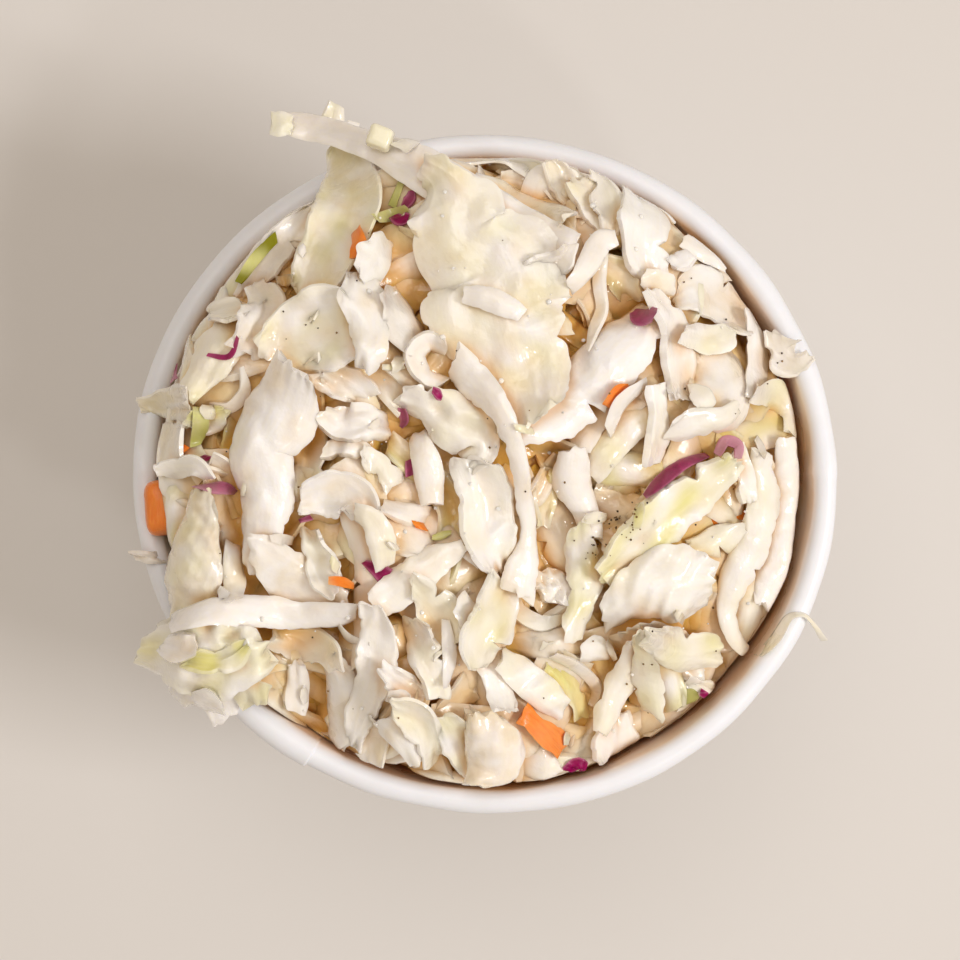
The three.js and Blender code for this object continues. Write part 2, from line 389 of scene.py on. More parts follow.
# How each kind of cut piece is shaped, in millimetres: edge is how much of the thickness is left at the long
# edges, curl how far round its width bends, cup which way (1 over, -1 up, 0 either), ragged how uneven its
# outline is, notches how many tears run in from its edges, pleat the depth of its lengthwise folds, bumps the
# relief of its two faces, blunt the least width of its ends, jag how torn they are, tips how far they stand
# up or droop, lean how far it may roll, and bend how readily it sags.
usual = {"over": False, "roll": 0.0, "lift": 0.0, "tint": 0.0, "clear": 0.0, "bend": 3, "slant": 0.7,
         "notches": 0, "pleat": 0.0, "pleats": 1.5, "wave": 0.0, "tips": 0.0, "jag": 0.5, "lean": 12.0,
         "cup": 0, "blunt": 0.6, "vary": 0.3, "broad": 1.0}
kinds = {
    "leaf": {"broad": 1.22, "thick": 0.85, "edge": 0.55, "curl": 1.9, "lean": 24.0, "ragged": 0.42,
             "bumps": 0.1, "bumpSize": 3.8, "wave": 0.6, "notches": 1, "pleat": 0.7, "tips": 1.2,
             "jag": 0.8, "vary": 0.6},
    "strip": {"broad": 1.15, "thick": 1.5, "edge": 0.6, "curl": 1.5, "lean": 26.0, "ragged": 0.24,
              "blunt": 0.75, "bumps": 0.1, "bumpSize": 3.0, "wave": 0.25, "pleat": 0.3, "pleats": 1.0,
              "tips": 0.9, "notches": 1, "jag": 0.6, "vary": 0.4},
    "rib": {"thick": 2.0, "edge": 0.5, "blunt": 0.72, "curl": 0.5, "ragged": 0.12, "bumps": 0.1,
            "bumpSize": 3.4, "lean": 6.0, "cup": 1, "jag": 0.35},
    "chunk": {"broad": 1.15, "thick": 1.9, "edge": 0.7, "curl": 0.4, "ragged": 0.26, "bumps": 0.18,
              "bumpSize": 2.4, "jag": 0.5, "lean": 20.0, "blunt": 0.65},
    "sliver": {"thick": 0.7, "edge": 0.6, "curl": 0.9, "ragged": 0.1, "bumps": 0.08, "bumpSize": 2.0,
               "jag": 0.3, "tips": 0.8, "lean": 25.0, "blunt": 0.3},
    "carrot": {"thick": 1.6, "edge": 0.9, "curl": 0.3, "ragged": 0.24, "bumps": 0.14, "bumpSize": 1.5,
               "jag": 0.4, "blunt": 0.7, "vary": 0.12, "cup": 1},
    "red": {"thick": 0.45, "edge": 0.7, "curl": 1.0, "ragged": 0.14, "bumps": 0.12, "bumpSize": 1.6,
            "wave": 0.2, "jag": 0.4, "blunt": 0.3, "vary": 0.0},
    "green": {"thick": 0.5, "edge": 0.6, "curl": 0.8, "ragged": 0.12, "bumps": 0.1, "bumpSize": 2.0,
              "wave": 0.15, "jag": 0.4, "blunt": 0.4},
}
shapes = {}


def tornEdge(along, size, seed):
    # how far a cut edge strays from true, in shares of its size: slow swings, quick ones and cusped bites
    flat = 0 * along
    return size * (ripple(along, flat, 6.5, seed) + 0.28 * ripple(along, flat, 2.0, seed + 1)
                   - 0.9 * (1 - np.abs(ripple(along, flat, 4.6, seed + 2))) ** 3)


def shred(kind, knots, seed, fine=0.355, group=None, **changes):
    # one cut piece: a bent strip whose width follows its knots (x, y, width, lift), laid on the heap.
    # Its section is a slab bent to an arc and pleated, with square cut edges; its ends are torn slantwise
    form = {**usual, **kinds[kind], **changes}
    rng = np.random.default_rng(seed)
    knots = np.array([(*k, 0.0)[:4] for k in knots], float)
    knots[:, 2] *= form["broad"]
    length = np.hypot(*np.diff(knots[:, :2], axis=0).T).sum()
    width = knots[:, 2].max()
    knots[[0, -1], 2] = np.maximum(knots[[0, -1], 2], form["blunt"] * knots[[1, -2], 2])
    rows = int(np.clip(length / fine, 14, 110))
    half = int(np.clip(width / fine, 6, 52))
    share = np.linspace(0, 1, rows)
    over = np.linspace(-1, 1, half)
    over = 0.8 * over + 0.2 * np.sin(over * np.pi / 2)
    across = np.concatenate([over, over[::-1]])
    side = np.repeat([1.0, -1.0], half)
    path = curveThrough(knots, share)
    tangent = np.gradient(path[:, :2], axis=0)
    tangent /= np.maximum(np.linalg.norm(tangent, axis=1, keepdims=True), 1e-6)
    normal = np.stack([-tangent[:, 1], tangent[:, 0]], -1)
    along = share[:, None] * length + 0 * across[None]
    wide = np.maximum(path[:, 2:3], 0.3)
    little = np.minimum(1, wide / 3.5)
    # each long edge wanders on its own, with a few tears running in from it
    stray = [tornEdge(along[:, 0], form["ragged"], seed + 11 + 5 * n)[:, None] for n in range(2)]
    for _ in range(rng.integers(0, form["notches"] + 1)):
        spot, deep = rng.uniform(0.15, 0.85) * length, rng.uniform(0.15, 0.45)
        bite = deep * wide * np.exp(-(((share[:, None] * length - spot) / rng.uniform(0.25, 0.7)) ** 2))
        stray[rng.integers(2)] -= bite
    shift = np.where(across[None] > 0, stray[0], stray[1]) * little * np.abs(across[None])
    q = across[None] * np.maximum(1 + 2 * shift / wide, 0.15)
    reach = q * wide / 2
    curl = form["curl"] * rng.uniform(0.4, 1.3) * (form["cup"] or (1 if rng.uniform() < 0.45 else -1))
    bent = curl * q / 2
    offside = wide * np.sin(bent) / curl
    rise = wide * (np.cos(bent) - 1) / curl
    rise = rise - rise.min()
    nearEnd = np.minimum(share, 1 - share)[:, None] * length
    slab = form["edge"] + (1 - form["edge"]) * (1 - np.abs(across[None]) ** 3)
    thick = form["thick"] * (1 + 0.2 * ripple(along, reach, 5.0, seed + 31)) / 2
    thick = np.minimum(thick, 0.3 * wide + 0.08) * slab * (0.72 + 0.28 * smoothStep(0, 1.2, nearEnd))
    offside = offside + side[None] * thick * np.sin(bent)
    rise = rise + side[None] * thick * np.cos(bent)
    # lengthwise pleats, a fluttering edge and uneven faces
    folds = np.pi * form["pleats"] * q + rng.uniform(0, 6.3) + 2.2 * ripple(along, reach, 12, seed + 32)
    crease = 0.5 * np.sin(folds) + 0.6 * (1 - 2 * np.abs(np.sin(0.5 * folds + 1)))
    rise = rise + form["pleat"] * little * crease * (0.8 + 0.5 * ripple(along, reach, 9, seed + 38))
    flutter = along * 2 * np.pi / rng.uniform(5, 10) + np.where(across[None] > 0, 0, rng.uniform(1, 5))
    rise = rise + form["wave"] * little * q**2 * np.sin(flutter)
    rise = rise + form["bumps"] * little * ripple(along, reach, form["bumpSize"], seed + 33)
    turn = np.radians(form["roll"] + form["lean"] * rng.uniform(-1, 1)) * np.minimum(1, 5 / wide)
    offside, rise = offside * np.cos(turn) - rise * np.sin(turn), offside * np.sin(turn) + rise * np.cos(turn)
    tips = form["tips"] * rng.uniform(-0.8, 1.4, 2)
    rise = rise + tips[0] * (1 - share[:, None]) ** 4 + tips[1] * share[:, None] ** 4
    slants = form["slant"] * rng.uniform(-1, 1, 2)
    fade = length / 2.5
    slant = slants[0] * np.exp(-share[:, None] * fade) + slants[1] * np.exp((share[:, None] - 1) * fade)
    torn = np.exp(-nearEnd / 1.4) * little * form["jag"]
    slide = slant * reach + torn * np.where(share[:, None] > 0.5, ripple(reach, 0 * along, 1.7, seed + 34),
                                            ripple(reach, 0 * along, 1.7, seed + 35))
    x = path[:, :1] + normal[:, :1] * offside + tangent[:, :1] * slide
    y = path[:, 1:2] + normal[:, 1:] * offside + tangent[:, 1:] * slide
    # paths are drawn as seen from the eye's height, so what stands higher is drawn in to its true place
    looked = 1 - (heapAt(heap, x, y) - tub["height"]).mean(1) / plan["eye"]
    cubic = np.polynomial.polynomial.polyfit(share, looked, 3)
    looked = np.polynomial.polynomial.polyval(share, cubic)[:, None]
    x, y = x * looked, y * looked
    # rest on the heap, which is felt along 22 by 7 points of the piece
    s, v = np.linspace(0, 1, 22), np.linspace(-0.9, 0.9, 7)
    probe = curveThrough(knots, s)
    heading = np.gradient(probe[:, :2], axis=0)
    heading /= np.maximum(np.linalg.norm(heading, axis=1, keepdims=True), 1e-6)
    shrink = np.interp(s, share, looked[:, 0])[:, None]
    probeX = shrink * (probe[:, :1] - heading[:, 1:] * v * probe[:, 2:3] / 2)
    probeY = shrink * (probe[:, 1:2] + heading[:, :1] * v * probe[:, 2:3] / 2)
    if not form["over"]:
        probeX, probeY = insideWall(probeX, probeY, wallTop - 0.8)
    found, order = restingSurface(probeX, probeY, s[:, None] + 0 * v, v[None] + 0 * s[:, None],
                                  min(form["bend"], length / 5))
    base = sum(found[n] * np.polynomial.legendre.legval(2 * share - 1, np.eye(order + 1)[n])
               for n in range(order + 1))[:, None]
    tilt = (found[order + 1] + found[order + 2] * (2 * share - 1))[:, None]
    z = base + tilt * q + path[:, 3:4] + form["lift"] + 0.35 * form["thick"] + rise
    if not form["over"]:
        x, y = insideWall(x, y, np.minimum(innerRadius(z), wallTop) - 0.3)
    points = np.stack([x, y, z], -1)
    raiseHeap(points)
    tint = form["tint"] + form["vary"] * rng.uniform() ** 2
    tint = tint * (0.75 + 0.7 * ripple(along, reach, 7, seed + 36))
    clear = form["clear"] + rng.uniform(0, 0.35) + 0.35 * ripple(along, reach, 6, seed + 37)
    values = {
        "lie": np.stack([along, reach, np.full_like(along, seed % 97)], -1),
        "tint": np.clip(tint, 0, 1),
        "clear": np.clip(clear, 0, 1),
        # rim is 1 at a piece's long edges: a painted highlight on white cabbage, the pale cut flesh on red
        # cabbage
        "rim": np.abs(across[None]) ** 8 + 0 * along,
        "tone": np.full_like(along, rng.uniform()),
    }
    shapes.setdefault(group or kind, []).append({"points": points, "values": values})


def slawCore():
    # packed slaw under the loose pieces: rings out from the axis over the core's map, then down the wall
    gap, rimHeight = 0.35, 55.0
    turn = np.linspace(0, 2 * np.pi, 240, endpoint=False)[None]
    share = np.linspace(0.004, 1, 96)[:, None]
    wide = outOfRound(turn, rimHeight)
    x = share * wallTop * wide * np.cos(turn)
    y = share * wallTop * wide * np.sin(turn)
    z = heapAt(core, x, y)
    keep = (innerRadius(np.minimum(z, lipCentre)) - gap) * outOfRound(turn, z)
    scale = np.minimum(1, keep / np.maximum(np.hypot(x, y), 1e-6))
    top = np.stack([x * scale, y * scale, z], -1)
    floor = tub["footDepth"] + tub["base"] + 0.3
    rim = z[-1:]
    down = np.linspace(0, 1, 14)[1:, None]
    sideZ = rim + (floor - rim) * down
    sideR = (innerRadius(sideZ) - gap) * outOfRound(turn, sideZ)
    side = np.stack([sideR * np.cos(turn), sideR * np.sin(turn), sideZ], -1)
    inward = np.linspace(0.95, 0.02, 8)[:, None]
    bottom = np.stack([sideR[-1:] * inward * np.cos(turn), sideR[-1:] * inward * np.sin(turn),
                       floor + 0 * inward * turn], -1)
    points = np.concatenate([top, side, bottom])
    flat = np.zeros(points.shape[:2])
    lie = np.stack([points[..., 0], points[..., 1], flat], -1)
    return {"points": points, "values": {"lie": lie, "tint": flat + 0.1, "clear": flat + 0.5, "rim": flat,
                                         "tone": flat + 0.4}}


# loose shreds that fill the tub under the ones that show, scattered from one seed
loose = {"seed": 12, "layers": ((120, 0, 40, 1.0), (90, 36, 40.5, 0.8), (150, 0, 40, 0.6)), "reach": 40.8}
scatter = np.random.default_rng(loose["seed"])
for layer, (number, nearest, farthest, fine) in enumerate(loose["layers"]):
    for index in range(number):
        away = np.sqrt(scatter.uniform(nearest**2, farthest**2))
        around = scatter.uniform(0, 2 * np.pi)
        centre = np.array([away * np.cos(around), away * np.sin(around)])
        heading = scatter.uniform(0, np.pi) if nearest == 0 else around + scatter.uniform(1.0, 2.1)
        size = scatter.uniform(11, 26)
        broad = scatter.uniform(2.8, 6.5)
        along = np.array([np.cos(heading), np.sin(heading)])
        sideways = np.array([-along[1], along[0]]) * scatter.uniform(-0.3, 0.3) * size
        spots = [centre - along * size / 2, centre + sideways, centre + along * size / 2]
        spots = [spot * min(1, loose["reach"] / np.hypot(*spot)) for spot in spots]
        dip = scatter.uniform(-2.2, 0.4, 2)
        knots = [(*spots[0], broad * scatter.uniform(0.5, 1.0), dip[0]), (*spots[1], broad, 0.2),
                 (*spots[2], broad * scatter.uniform(0.5, 1.0), dip[1])]
        sort = scatter.choice(["leaf", "strip", "strip", "rib"])
        shred(sort, knots, 1000 + layer * 500 + index, fine, "loose " + sort, lift=-1.1, broad=1.15,
              lean=28.0, ragged=0.14, jag=0.3, tint=0.5 * scatter.uniform() ** 3,
              clear=scatter.uniform(0.1, 0.7))
print("the loose shreds are laid")

# the pieces that show, each (kind, [(x, y, width, lift) ...], changes), laid from the lowest up
shown = [
    # beside the wall and low down
    ("leaf", [(-31.5, 22.5, 2.2), (-28.5, 27, 4), (-25, 31.5, 4), (-22.8, 34.5, 2)], {"clear": 0.6}),
    ("green", [(-32, 24.2, 1), (-30.3, 26.8, 1.6), (-27.2, 30.2, 1.1)], {"tint": 1.0}),
    ("strip", [(-38.9, 5.5, 1.8), (-38, 11, 2.4), (-38.8, 17, 1.2)], {"clear": 0.3}),
    ("leaf", [(-38.6, 9.5, 2.5), (-35.8, 13.5, 5), (-33, 17.5, 5.5), (-30.5, 21.5, 3)], {"clear": 0.3}),
    ("leaf", [(-35.5, 19.8, 2), (-33, 20.3, 4), (-29.5, 20.6, 3.4)], {"clear": 0.4}),
    ("sliver", [(-36, 8.3, 1), (-33, 8, 1.6), (-31.3, 9.8, 1.7), (-31.6, 13, 0.6)], {}),
    ("leaf", [(2, 37, 3), (6, 36, 5), (11, 35, 5), (14, 33.5, 3)], {"clear": 0.5, "lift": -2}),
    ("chunk", [(0, 39, 2), (0.3, 36, 2.2)], {"lift": -1}),
    ("leaf", [(3.5, 40, 2.5), (4.2, 37, 3), (4.5, 35, 2)], {"lift": -2.5, "clear": 0.4}),
    ("leaf", [(8, 40, 2), (9.5, 38, 4), (11.5, 36, 5)], {"lift": -0.5, "clear": 0.2}),
    ("leaf", [(9, 31, 4), (11, 28.5, 4.5), (12.5, 25.5, 2)], {"clear": 0.6, "lift": -1}),
    ("leaf", [(-2, 36.5, 3), (2, 34.5, 6), (7, 32.5, 5), (10.5, 31.5, 3)], {"clear": 0.7, "lift": -1.2}),
    ("strip", [(12, 37.5, 3), (15, 34, 5), (18.5, 29, 3.5)], {"clear": 0.5, "lift": -1}),
    ("leaf", [(-36, 0, 3), (-33, -3, 6), (-31.5, -8, 6), (-33, -12, 3)], {"clear": 0.5, "lift": -1.2}),
    ("leaf", [(24.5, 22.5, 3), (27.5, 23.5, 6), (31, 22, 6.5), (33.8, 20, 2.5)],
     {"clear": 0.5, "lift": -0.8}),
    ("carrot", [(-41, 3.4, 1.4), (-39, 2.3, 1.8)], {"lift": -2.5}),
    ("carrot", [(15.5, -1.6, 1.6), (19.3, -1.6, 1.8)], {"lift": -2.5}),
    ("carrot", [(39, 12.6, 1.2), (40, 11, 2.2), (40.8, 9.2, 1)], {"lift": -0.5}),
    ("leaf", [(28.5, 16, 3), (30, 12, 7), (30, 8, 7), (28, 5.3, 3)], {"clear": 0.2}),
    ("leaf", [(3, -22, 3), (8, -22.3, 4.5), (13.5, -22.3, 3)], {"clear": 0.8, "lift": -1.5}),
    ("leaf", [(-16, -31, 3), (-15.2, -34.5, 5.4), (-15.3, -37.8, 3)], {"clear": 0.8}),
    ("leaf", [(-20, -24, 2), (-18.5, -28, 4.5), (-18.5, -33, 4), (-20, -36.5, 1.5)],
     {"clear": 0.5, "lift": -1}),
    ("leaf", [(-13, -32, 2.5), (-11, -34, 3.5), (-9, -37.5, 1.2)], {"clear": 0.4}),
    ("leaf", [(-29.5, -24.5, 2), (-27, -26.3, 3.8), (-24, -28, 3)], {"clear": 0.8, "lift": -1.5}),
    ("leaf", [(14, -3, 2), (17, -5, 5), (20.5, -5.5, 4), (22.5, -4.5, 2)], {"clear": 0.7, "lift": -0.8}),
    ("leaf", [(15, -9.5, 3), (18, -8, 4), (21, -6, 3)], {"clear": 0.6, "lift": -0.6}),
    ("leaf", [(8, -24.5, 2.5), (10.5, -27.5, 3.4), (12.5, -31.5, 1.5)], {"tint": 0.9, "lift": -1}),
    ("leaf", [(7, 0.5, 3.2), (7.6, -3.5, 3.4), (7.5, -7, 1.2)], {"tint": 0.8, "lift": -1.2}),
    ("leaf", [(2.5, 0.5, 2.5), (3, -4, 2)], {"tint": 0.7, "lift": -1}),
    # the left side
    ("leaf", [(-44.5, 8.8, 1), (-41.5, 8.8, 3.6), (-38, 8.3, 4)], {"clear": 0.6, "over": True}),
    ("leaf", [(-38.5, 6.5, 2), (-35, 6.5, 3.4), (-33.5, 7, 1.5)], {"tint": 0.6}),
    ("green", [(-37.3, 8, 1.2), (-37, 5.5, 2), (-37.6, 3, 1.2)], {"tint": 0.3}),
    ("red", [(-41.5, 13.8, 1.6), (-40.3, 11.6, 1.8)], {"tint": 0.45}),
    ("leaf", [(-30, 24, 2), (-28.5, 21.5, 5), (-29.5, 18, 5.5), (-32, 15, 3)], {"clear": 0.1}),
    ("red", [(-36, 14.6, 0.4), (-33.3, 14.4, 0.7), (-31.8, 16.6, 0.4)], {"tint": 0.1}),
    ("red", [(-37, 1.6, 1), (-35.8, 1.2, 1)], {"tint": 0.0}),
    ("leaf", [(-43, -0.2, 0.8), (-40.5, 0.4, 2.2), (-37, 0, 2), (-35.6, -1.4, 0.8)], {}),
    ("leaf", [(-36.3, -2.5, 3), (-36.5, -6, 5.5), (-37.2, -11, 8.5), (-37.8, -16, 8.5), (-38.8, -19, 5)],
     {"clear": 0.8, "bumps": 0.2, "bumpSize": 1.7, "over": True, "thick": 1.2, "notches": 0, "pleat": 0.4,
      "broad": 1.0}),
    ("leaf", [(-45.2, -10.6, 0.6), (-43.5, -10.8, 1.4), (-42.2, -10.8, 1.6)], {"clear": 0.9, "over": True}),
    # the upper left, under the long rib
    ("leaf", [(-20.4, 43.6, 2.6), (-19.9, 45.8, 2.5), (-19.4, 48, 1.8)],
     {"over": True, "clear": 0.2, "notches": 0, "jag": 0.2, "ragged": 0.08, "lean": 4}),
    ("sliver", [(-17.8, 44.5, 2), (-17.2, 46, 1.6)], {"over": True, "ragged": 0.3}),
    ("leaf", [(-19.2, 43, 3.6), (-18, 39.7, 7), (-17.6, 34.8, 9.6), (-19.3, 30, 9.2), (-21.8, 25.1, 8),
              (-23.4, 21.3, 5.5)], {"clear": 1.0, "over": True, "thick": 0.9, "lift": 0.3, "notches": 0,
                                    "pleat": 0.3, "pleats": 1.8, "wave": 0.3, "ragged": 0.25, "lean": 3,
                                    "broad": 1.0}),
    ("green", [(-11, 37.3, 0.9), (-12.2, 34.2, 1.2)], {"tint": 0.4}),
    ("red", [(-10.7, 34, 1), (-9.8, 35.3, 1.6), (-9.6, 36.2, 0.8)], {"tint": 0.2}),
    ("green", [(-14.4, 32.4, 1.2), (-12.5, 33.2, 1.5), (-10.2, 33.8, 1)], {"tint": 0.2}),
    ("red", [(-12, 33, 1.2), (-11, 32.4, 1.9), (-10.1, 32.6, 1.2)], {"tint": 0.0}),
    ("leaf", [(-24, 13, 5), (-23.5, 7, 5.5), (-23, 0, 4), (-23.3, -4, 1.2)], {"tint": 0.25}),
    ("leaf", [(-21, 12, 2), (-18, 10.5, 5), (-15.5, 9, 3)], {"clear": 0.3}),
    ("leaf", [(-29.5, 15.5, 1.5), (-27, 16.8, 6), (-23, 17.5, 9.5), (-19, 18, 9.5), (-16.3, 18, 5)],
     {"tint": 0.3, "clear": 0.35, "bumps": 0.35, "bumpSize": 6}),
    ("leaf", [(-15.8, 25.2, 4), (-15.7, 22, 4.8), (-15, 18, 5), (-14.8, 15, 4), (-15.3, 12.5, 1.5)],
     {"thick": 1.3, "lift": 0.3}),
    ("carrot", [(-16.8, 30.8, 1.6), (-16.4, 29, 1.9), (-16.8, 27, 0.4)], {"thick": 1.0}),
    ("chunk", [(-13.3, 30, 1.8), (-14, 28, 3.8), (-15.5, 26, 4.4), (-16.3, 25, 2)], {"thick": 1.6}),
    ("leaf", [(-24.6, 12.5, 5), (-26.2, 7.1, 11), (-28.8, 2.2, 9), (-27.9, -2.7, 8), (-28.4, -7.6, 6.2),
              (-28.9, -11.5, 5), (-29.2, -13.4, 3)], {"thick": 1.2, "lift": 0.4, "bend": 2, "pleat": 0.25,
                                                      "notches": 0, "wave": 0.4, "bumps": 0.12, "cup": 1,
                                                      "broad": 1.0}),
    ("red", [(-36.9, -2.3, 0.5), (-34.7, -2.5, 1.9), (-32.4, -3, 0.4)], {"tint": 0.6}),
    # the middle left
    ("red", [(-24.2, -6.8, 0.5), (-22.6, -6.3, 0.7)], {"tint": 0.5}),
    ("leaf", [(-30.5, -11, 3), (-26.5, -13, 6), (-22, -15.8, 5.5), (-18, -17.3, 2.5)],
     {"clear": 0.3, "lift": 0.6}),
    ("leaf", [(-14, -8, 2), (-10.5, -9, 5), (-8, -11, 3)], {"clear": 0.6, "lift": -0.5}),
    ("leaf", [(-23.8, -4.2, 1.2), (-20.5, -3.5, 5.5), (-17, -4, 5.5), (-15.3, -7, 3)], {"clear": 0.3}),
    ("chunk", [(-21, 2.5, 2), (-18, 3, 3), (-15.5, 2, 2)], {"clear": 0.5}),
    ("leaf", [(-15.8, 2, 1.2), (-13.5, 0, 3.4), (-12, -2.4, 1.4)], {}),
    ("strip", [(-13.5, -5, 1.4), (-10.5, -5.7, 2.4), (-7.3, -6, 2)], {}),
    ("carrot", [(-9.3, -7.2, 0.8), (-7.8, -7.5, 1.0)], {"lift": -0.6}),
    ("chunk", [(-20.8, 7.5, 1.5), (-18.5, 5.8, 4.4), (-15.5, 5.8, 4.6), (-12.6, 5.5, 1.5)], {"bumps": 0.4}),
    ("leaf", [(-22.5, -8, 1.5), (-21.5, -11, 4), (-20.5, -13.5, 5), (-19, -15.3, 3)], {"bumps": 0.35}),
    ("carrot", [(-20.2, -14.5, 0.9), (-18.4, -14.8, 1.3), (-17, -15.2, 0.6)], {"tint": 0.8, "bumps": 0.3}),
    ("red", [(-15.8, -12.1, 0.5), (-14, -13, 2), (-12.3, -14.2, 2.6), (-11, -12.9, 0.8)], {"tint": 0.05}),
    ("rib", [(-16.9, -5.8, 1.6), (-14.8, -6.8, 3), (-13.3, -9.5, 3.7), (-12.9, -12.8, 2.4)], {"lift": 0.4}),
    ("strip", [(-14.5, -17.8, 3), (-10.5, -15.2, 4.6), (-6.5, -12, 4), (-3.8, -10.6, 2), (-2.7, -10, 0.6)],
     {}),
    ("red", [(-9.9, 1.1, 1.1), (-9.9, -1, 1)], {"tint": 0.2}),
    ("rib", [(-8.8, 4.6, 2), (-8, 2, 3.2), (-7.3, -1, 3.6), (-6.9, -4.6, 2.8)], {"thick": 2.8, "curl": 1.2}),
    ("green", [(-7, -8.9, 0.6), (-5.7, -8.6, 1), (-4.5, -8.2, 0.5)], {"tint": 0.6}),
    # the crown
    ("leaf", [(22.3, 19.5, 3.5), (19, 16.5, 6.5), (15, 12.5, 7), (11, 8.5, 7.5), (7, 5.5, 5.5),
              (4.5, 4.5, 2)], {"thick": 1.2}),
    ("rib", [(-27.2, 45.3, 2.6, 0.6), (-22.8, 44.7, 3.7, 0.3), (-18, 43.2, 3.5), (-14.5, 41.8, 3.9),
             (-9.8, 39.4, 5.4), (-5, 36.5, 6), (0.5, 33.5, 5.6), (6, 30.6, 5), (11.4, 28.2, 2.4)],
     {"over": True, "thick": 2.6, "bend": 2, "lean": 0, "ragged": 0.08, "clear": 0.1, "slant": 0.15,
      "jag": 0.5, "edge": 0.6, "bumps": 0.16, "vary": 0.0}),
    ("chunk", [(-27.6, 45.4, 2.5), (-26.6, 45.3, 2.8), (-25.2, 45.1, 2.6)],
     {"over": True, "tint": 0.5, "curl": 0.5, "cup": 1, "lift": -0.1, "thick": 1.4, "jag": 0.5, "lean": 0,
      "slant": 0.1, "blunt": 0.9, "vary": 0.0}),
    ("chunk", [(-14.6, 43.5, 1.8), (-13.7, 43.2, 2.2), (-12.9, 42.8, 1.8)],
     {"tint": 0.7, "over": True, "thick": 1.0, "edge": 0.9, "curl": 0.1, "ragged": 0.1, "lean": 0}),
    ("chunk", [(-11.5, 42.4, 1.6), (-9.3, 41.4, 2.4)], {"clear": 0.2, "over": True}),
    ("leaf", [(-12.8, 23, 1.5), (-11.5, 20, 3.6), (-10, 17, 4), (-9, 15.5, 1.5)], {"bumps": 0.4}),
    ("carrot", [(-7.5, 16.4, 0.7), (-5.8, 17.3, 1.0)], {"lift": -0.8}),
    ("leaf", [(4, 24, 4.6), (7.6, 25.8, 4.6), (9.8, 27.2, 2.6), (10.8, 28.6, 1.2)],
     {"clear": 0.4, "lift": 0.3}),
    ("leaf", [(-8, 39.6, 3), (-5.7, 37.3, 6), (-4.4, 34.8, 11), (-3.2, 30, 13), (0.9, 25.1, 18),
              (1.4, 20.2, 18.2), (2.7, 15.3, 15.8), (4.8, 10.4, 13), (6, 5.5, 8)],
     {"clear": 0.45, "thick": 1.2, "bumps": 0.3, "bumpSize": 6.5, "ragged": 0.7, "curl": 0.5, "cup": 1,
      "notches": 0, "pleat": 0.3, "pleats": 2.6, "wave": 0.7, "lean": 0, "broad": 1.0}),
    ("rib", [(-3, 22.3, 1.5), (0, 21.8, 3), (3.5, 20.3, 2.6), (4.8, 19.5, 1)], {"thick": 1.4}),
    ("strip", [(-5.2, 15.3, 1.4), (-7.5, 16.3, 2), (-9.3, 14.5, 2.2), (-8.3, 12, 2.2), (-5.5, 10.8, 2)], {}),
    ("leaf", [(-10.5, 9.5, 1.5), (-7, 8, 4), (-3.5, 5.5, 6.5), (-1, 2.5, 5), (-2.5, 0.8, 1.5)],
     {"bumps": 0.4}),
    ("red", [(-6.9, 9.9, 0.8), (-6.2, 9.3, 1.3), (-5.7, 8.8, 0.5)], {"tint": 0.0, "lift": 0.3}),
    ("red", [(-10.9, 7.6, 1), (-10.6, 6.2, 1.1), (-11, 5.4, 0.4)], {"tint": 0.3}),
    # the upper right
    ("leaf", [(14.2, 39.8, 2), (15, 37, 3.6), (16.4, 33.5, 3.6), (16.3, 30.5, 2)], {}),
    ("leaf", [(14.5, 27, 3), (17.5, 25, 4.5), (19, 22, 2)], {"clear": 0.3}),
    ("rib", [(25.5, 30, 1.5), (28.5, 28.8, 4), (31.8, 27, 2.2)], {"clear": 0.4}),
    ("chunk", [(22.8, 34.8, 1), (24.2, 34, 1.6), (24.7, 32.5, 1)], {}),
    ("leaf", [(19.3, 36.2, 3.5), (20.5, 32, 5.6), (20.4, 28, 5.2), (22.2, 24, 3)],
     {"thick": 1.5, "lift": 0.3}),
    ("chunk", [(23.8, 26.4, 1.4), (25.2, 27, 2.6), (26.6, 28, 1.2)], {}),
    ("chunk", [(20.3, 25, 1.5), (22.5, 24, 3), (24.2, 23.8, 1.2)], {}),
    ("sliver", [(15.3, 28.8, 1.4), (14.7, 24.5, 2), (15, 20.5, 1.8), (13.8, 17.5, 1.5), (13.1, 15.2, 0.6)],
     {"roll": 55, "lift": 0.4}),
    ("rib", [(17, 30, 1.6), (15, 29.3, 3), (13.4, 26.6, 3), (12.2, 24.6, 2.4), (10.7, 23, 1.2)], {}),
    ("carrot", [(15.6, 7.8, 1.2), (17, 9.3, 2.2), (18.8, 10, 1)], {}),
    ("strip", [(21.3, 22.8, 1.6), (23.6, 19.3, 3.8), (24.6, 14.5, 4.6), (24.9, 9.2, 1.8)], {}),
    ("red", [(19.2, 20.5, 1.2), (20.3, 19.9, 2.8), (21.9, 19.7, 1.6)], {"tint": 0.3, "curl": 1.6}),
    ("chunk", [(25.2, 17.2, 1.5), (28, 17, 3.6), (31, 16.8, 3.2), (32.3, 17.2, 1.8)], {}),
    ("strip", [(34.5, 20.8, 2), (35, 17, 2.8), (35, 13, 2.8), (34.5, 9.5, 1.4)], {"clear": 0.2}),
    ("leaf", [(37, 18, 1.5), (38, 15.3, 4), (40, 14.3, 3), (42, 15.2, 1)], {"over": True}),
    ("leaf", [(34.7, 10, 1.5), (37.2, 10.3, 3.2), (39.6, 8, 3), (39.6, 5, 2)], {}),
    ("chunk", [(26.3, 9.7, 1.8), (28, 9, 3.2), (28.8, 8, 1.5)], {}),
    ("sliver", [(15.6, 4.6, 1.4), (17.3, 8.3, 1.8), (20.7, 11.2, 1)], {"thick": 1.2}),
    ("strip", [(21.8, 10.8, 2), (22.2, 5.5, 2.9), (21.2, 0.5, 2)], {}),
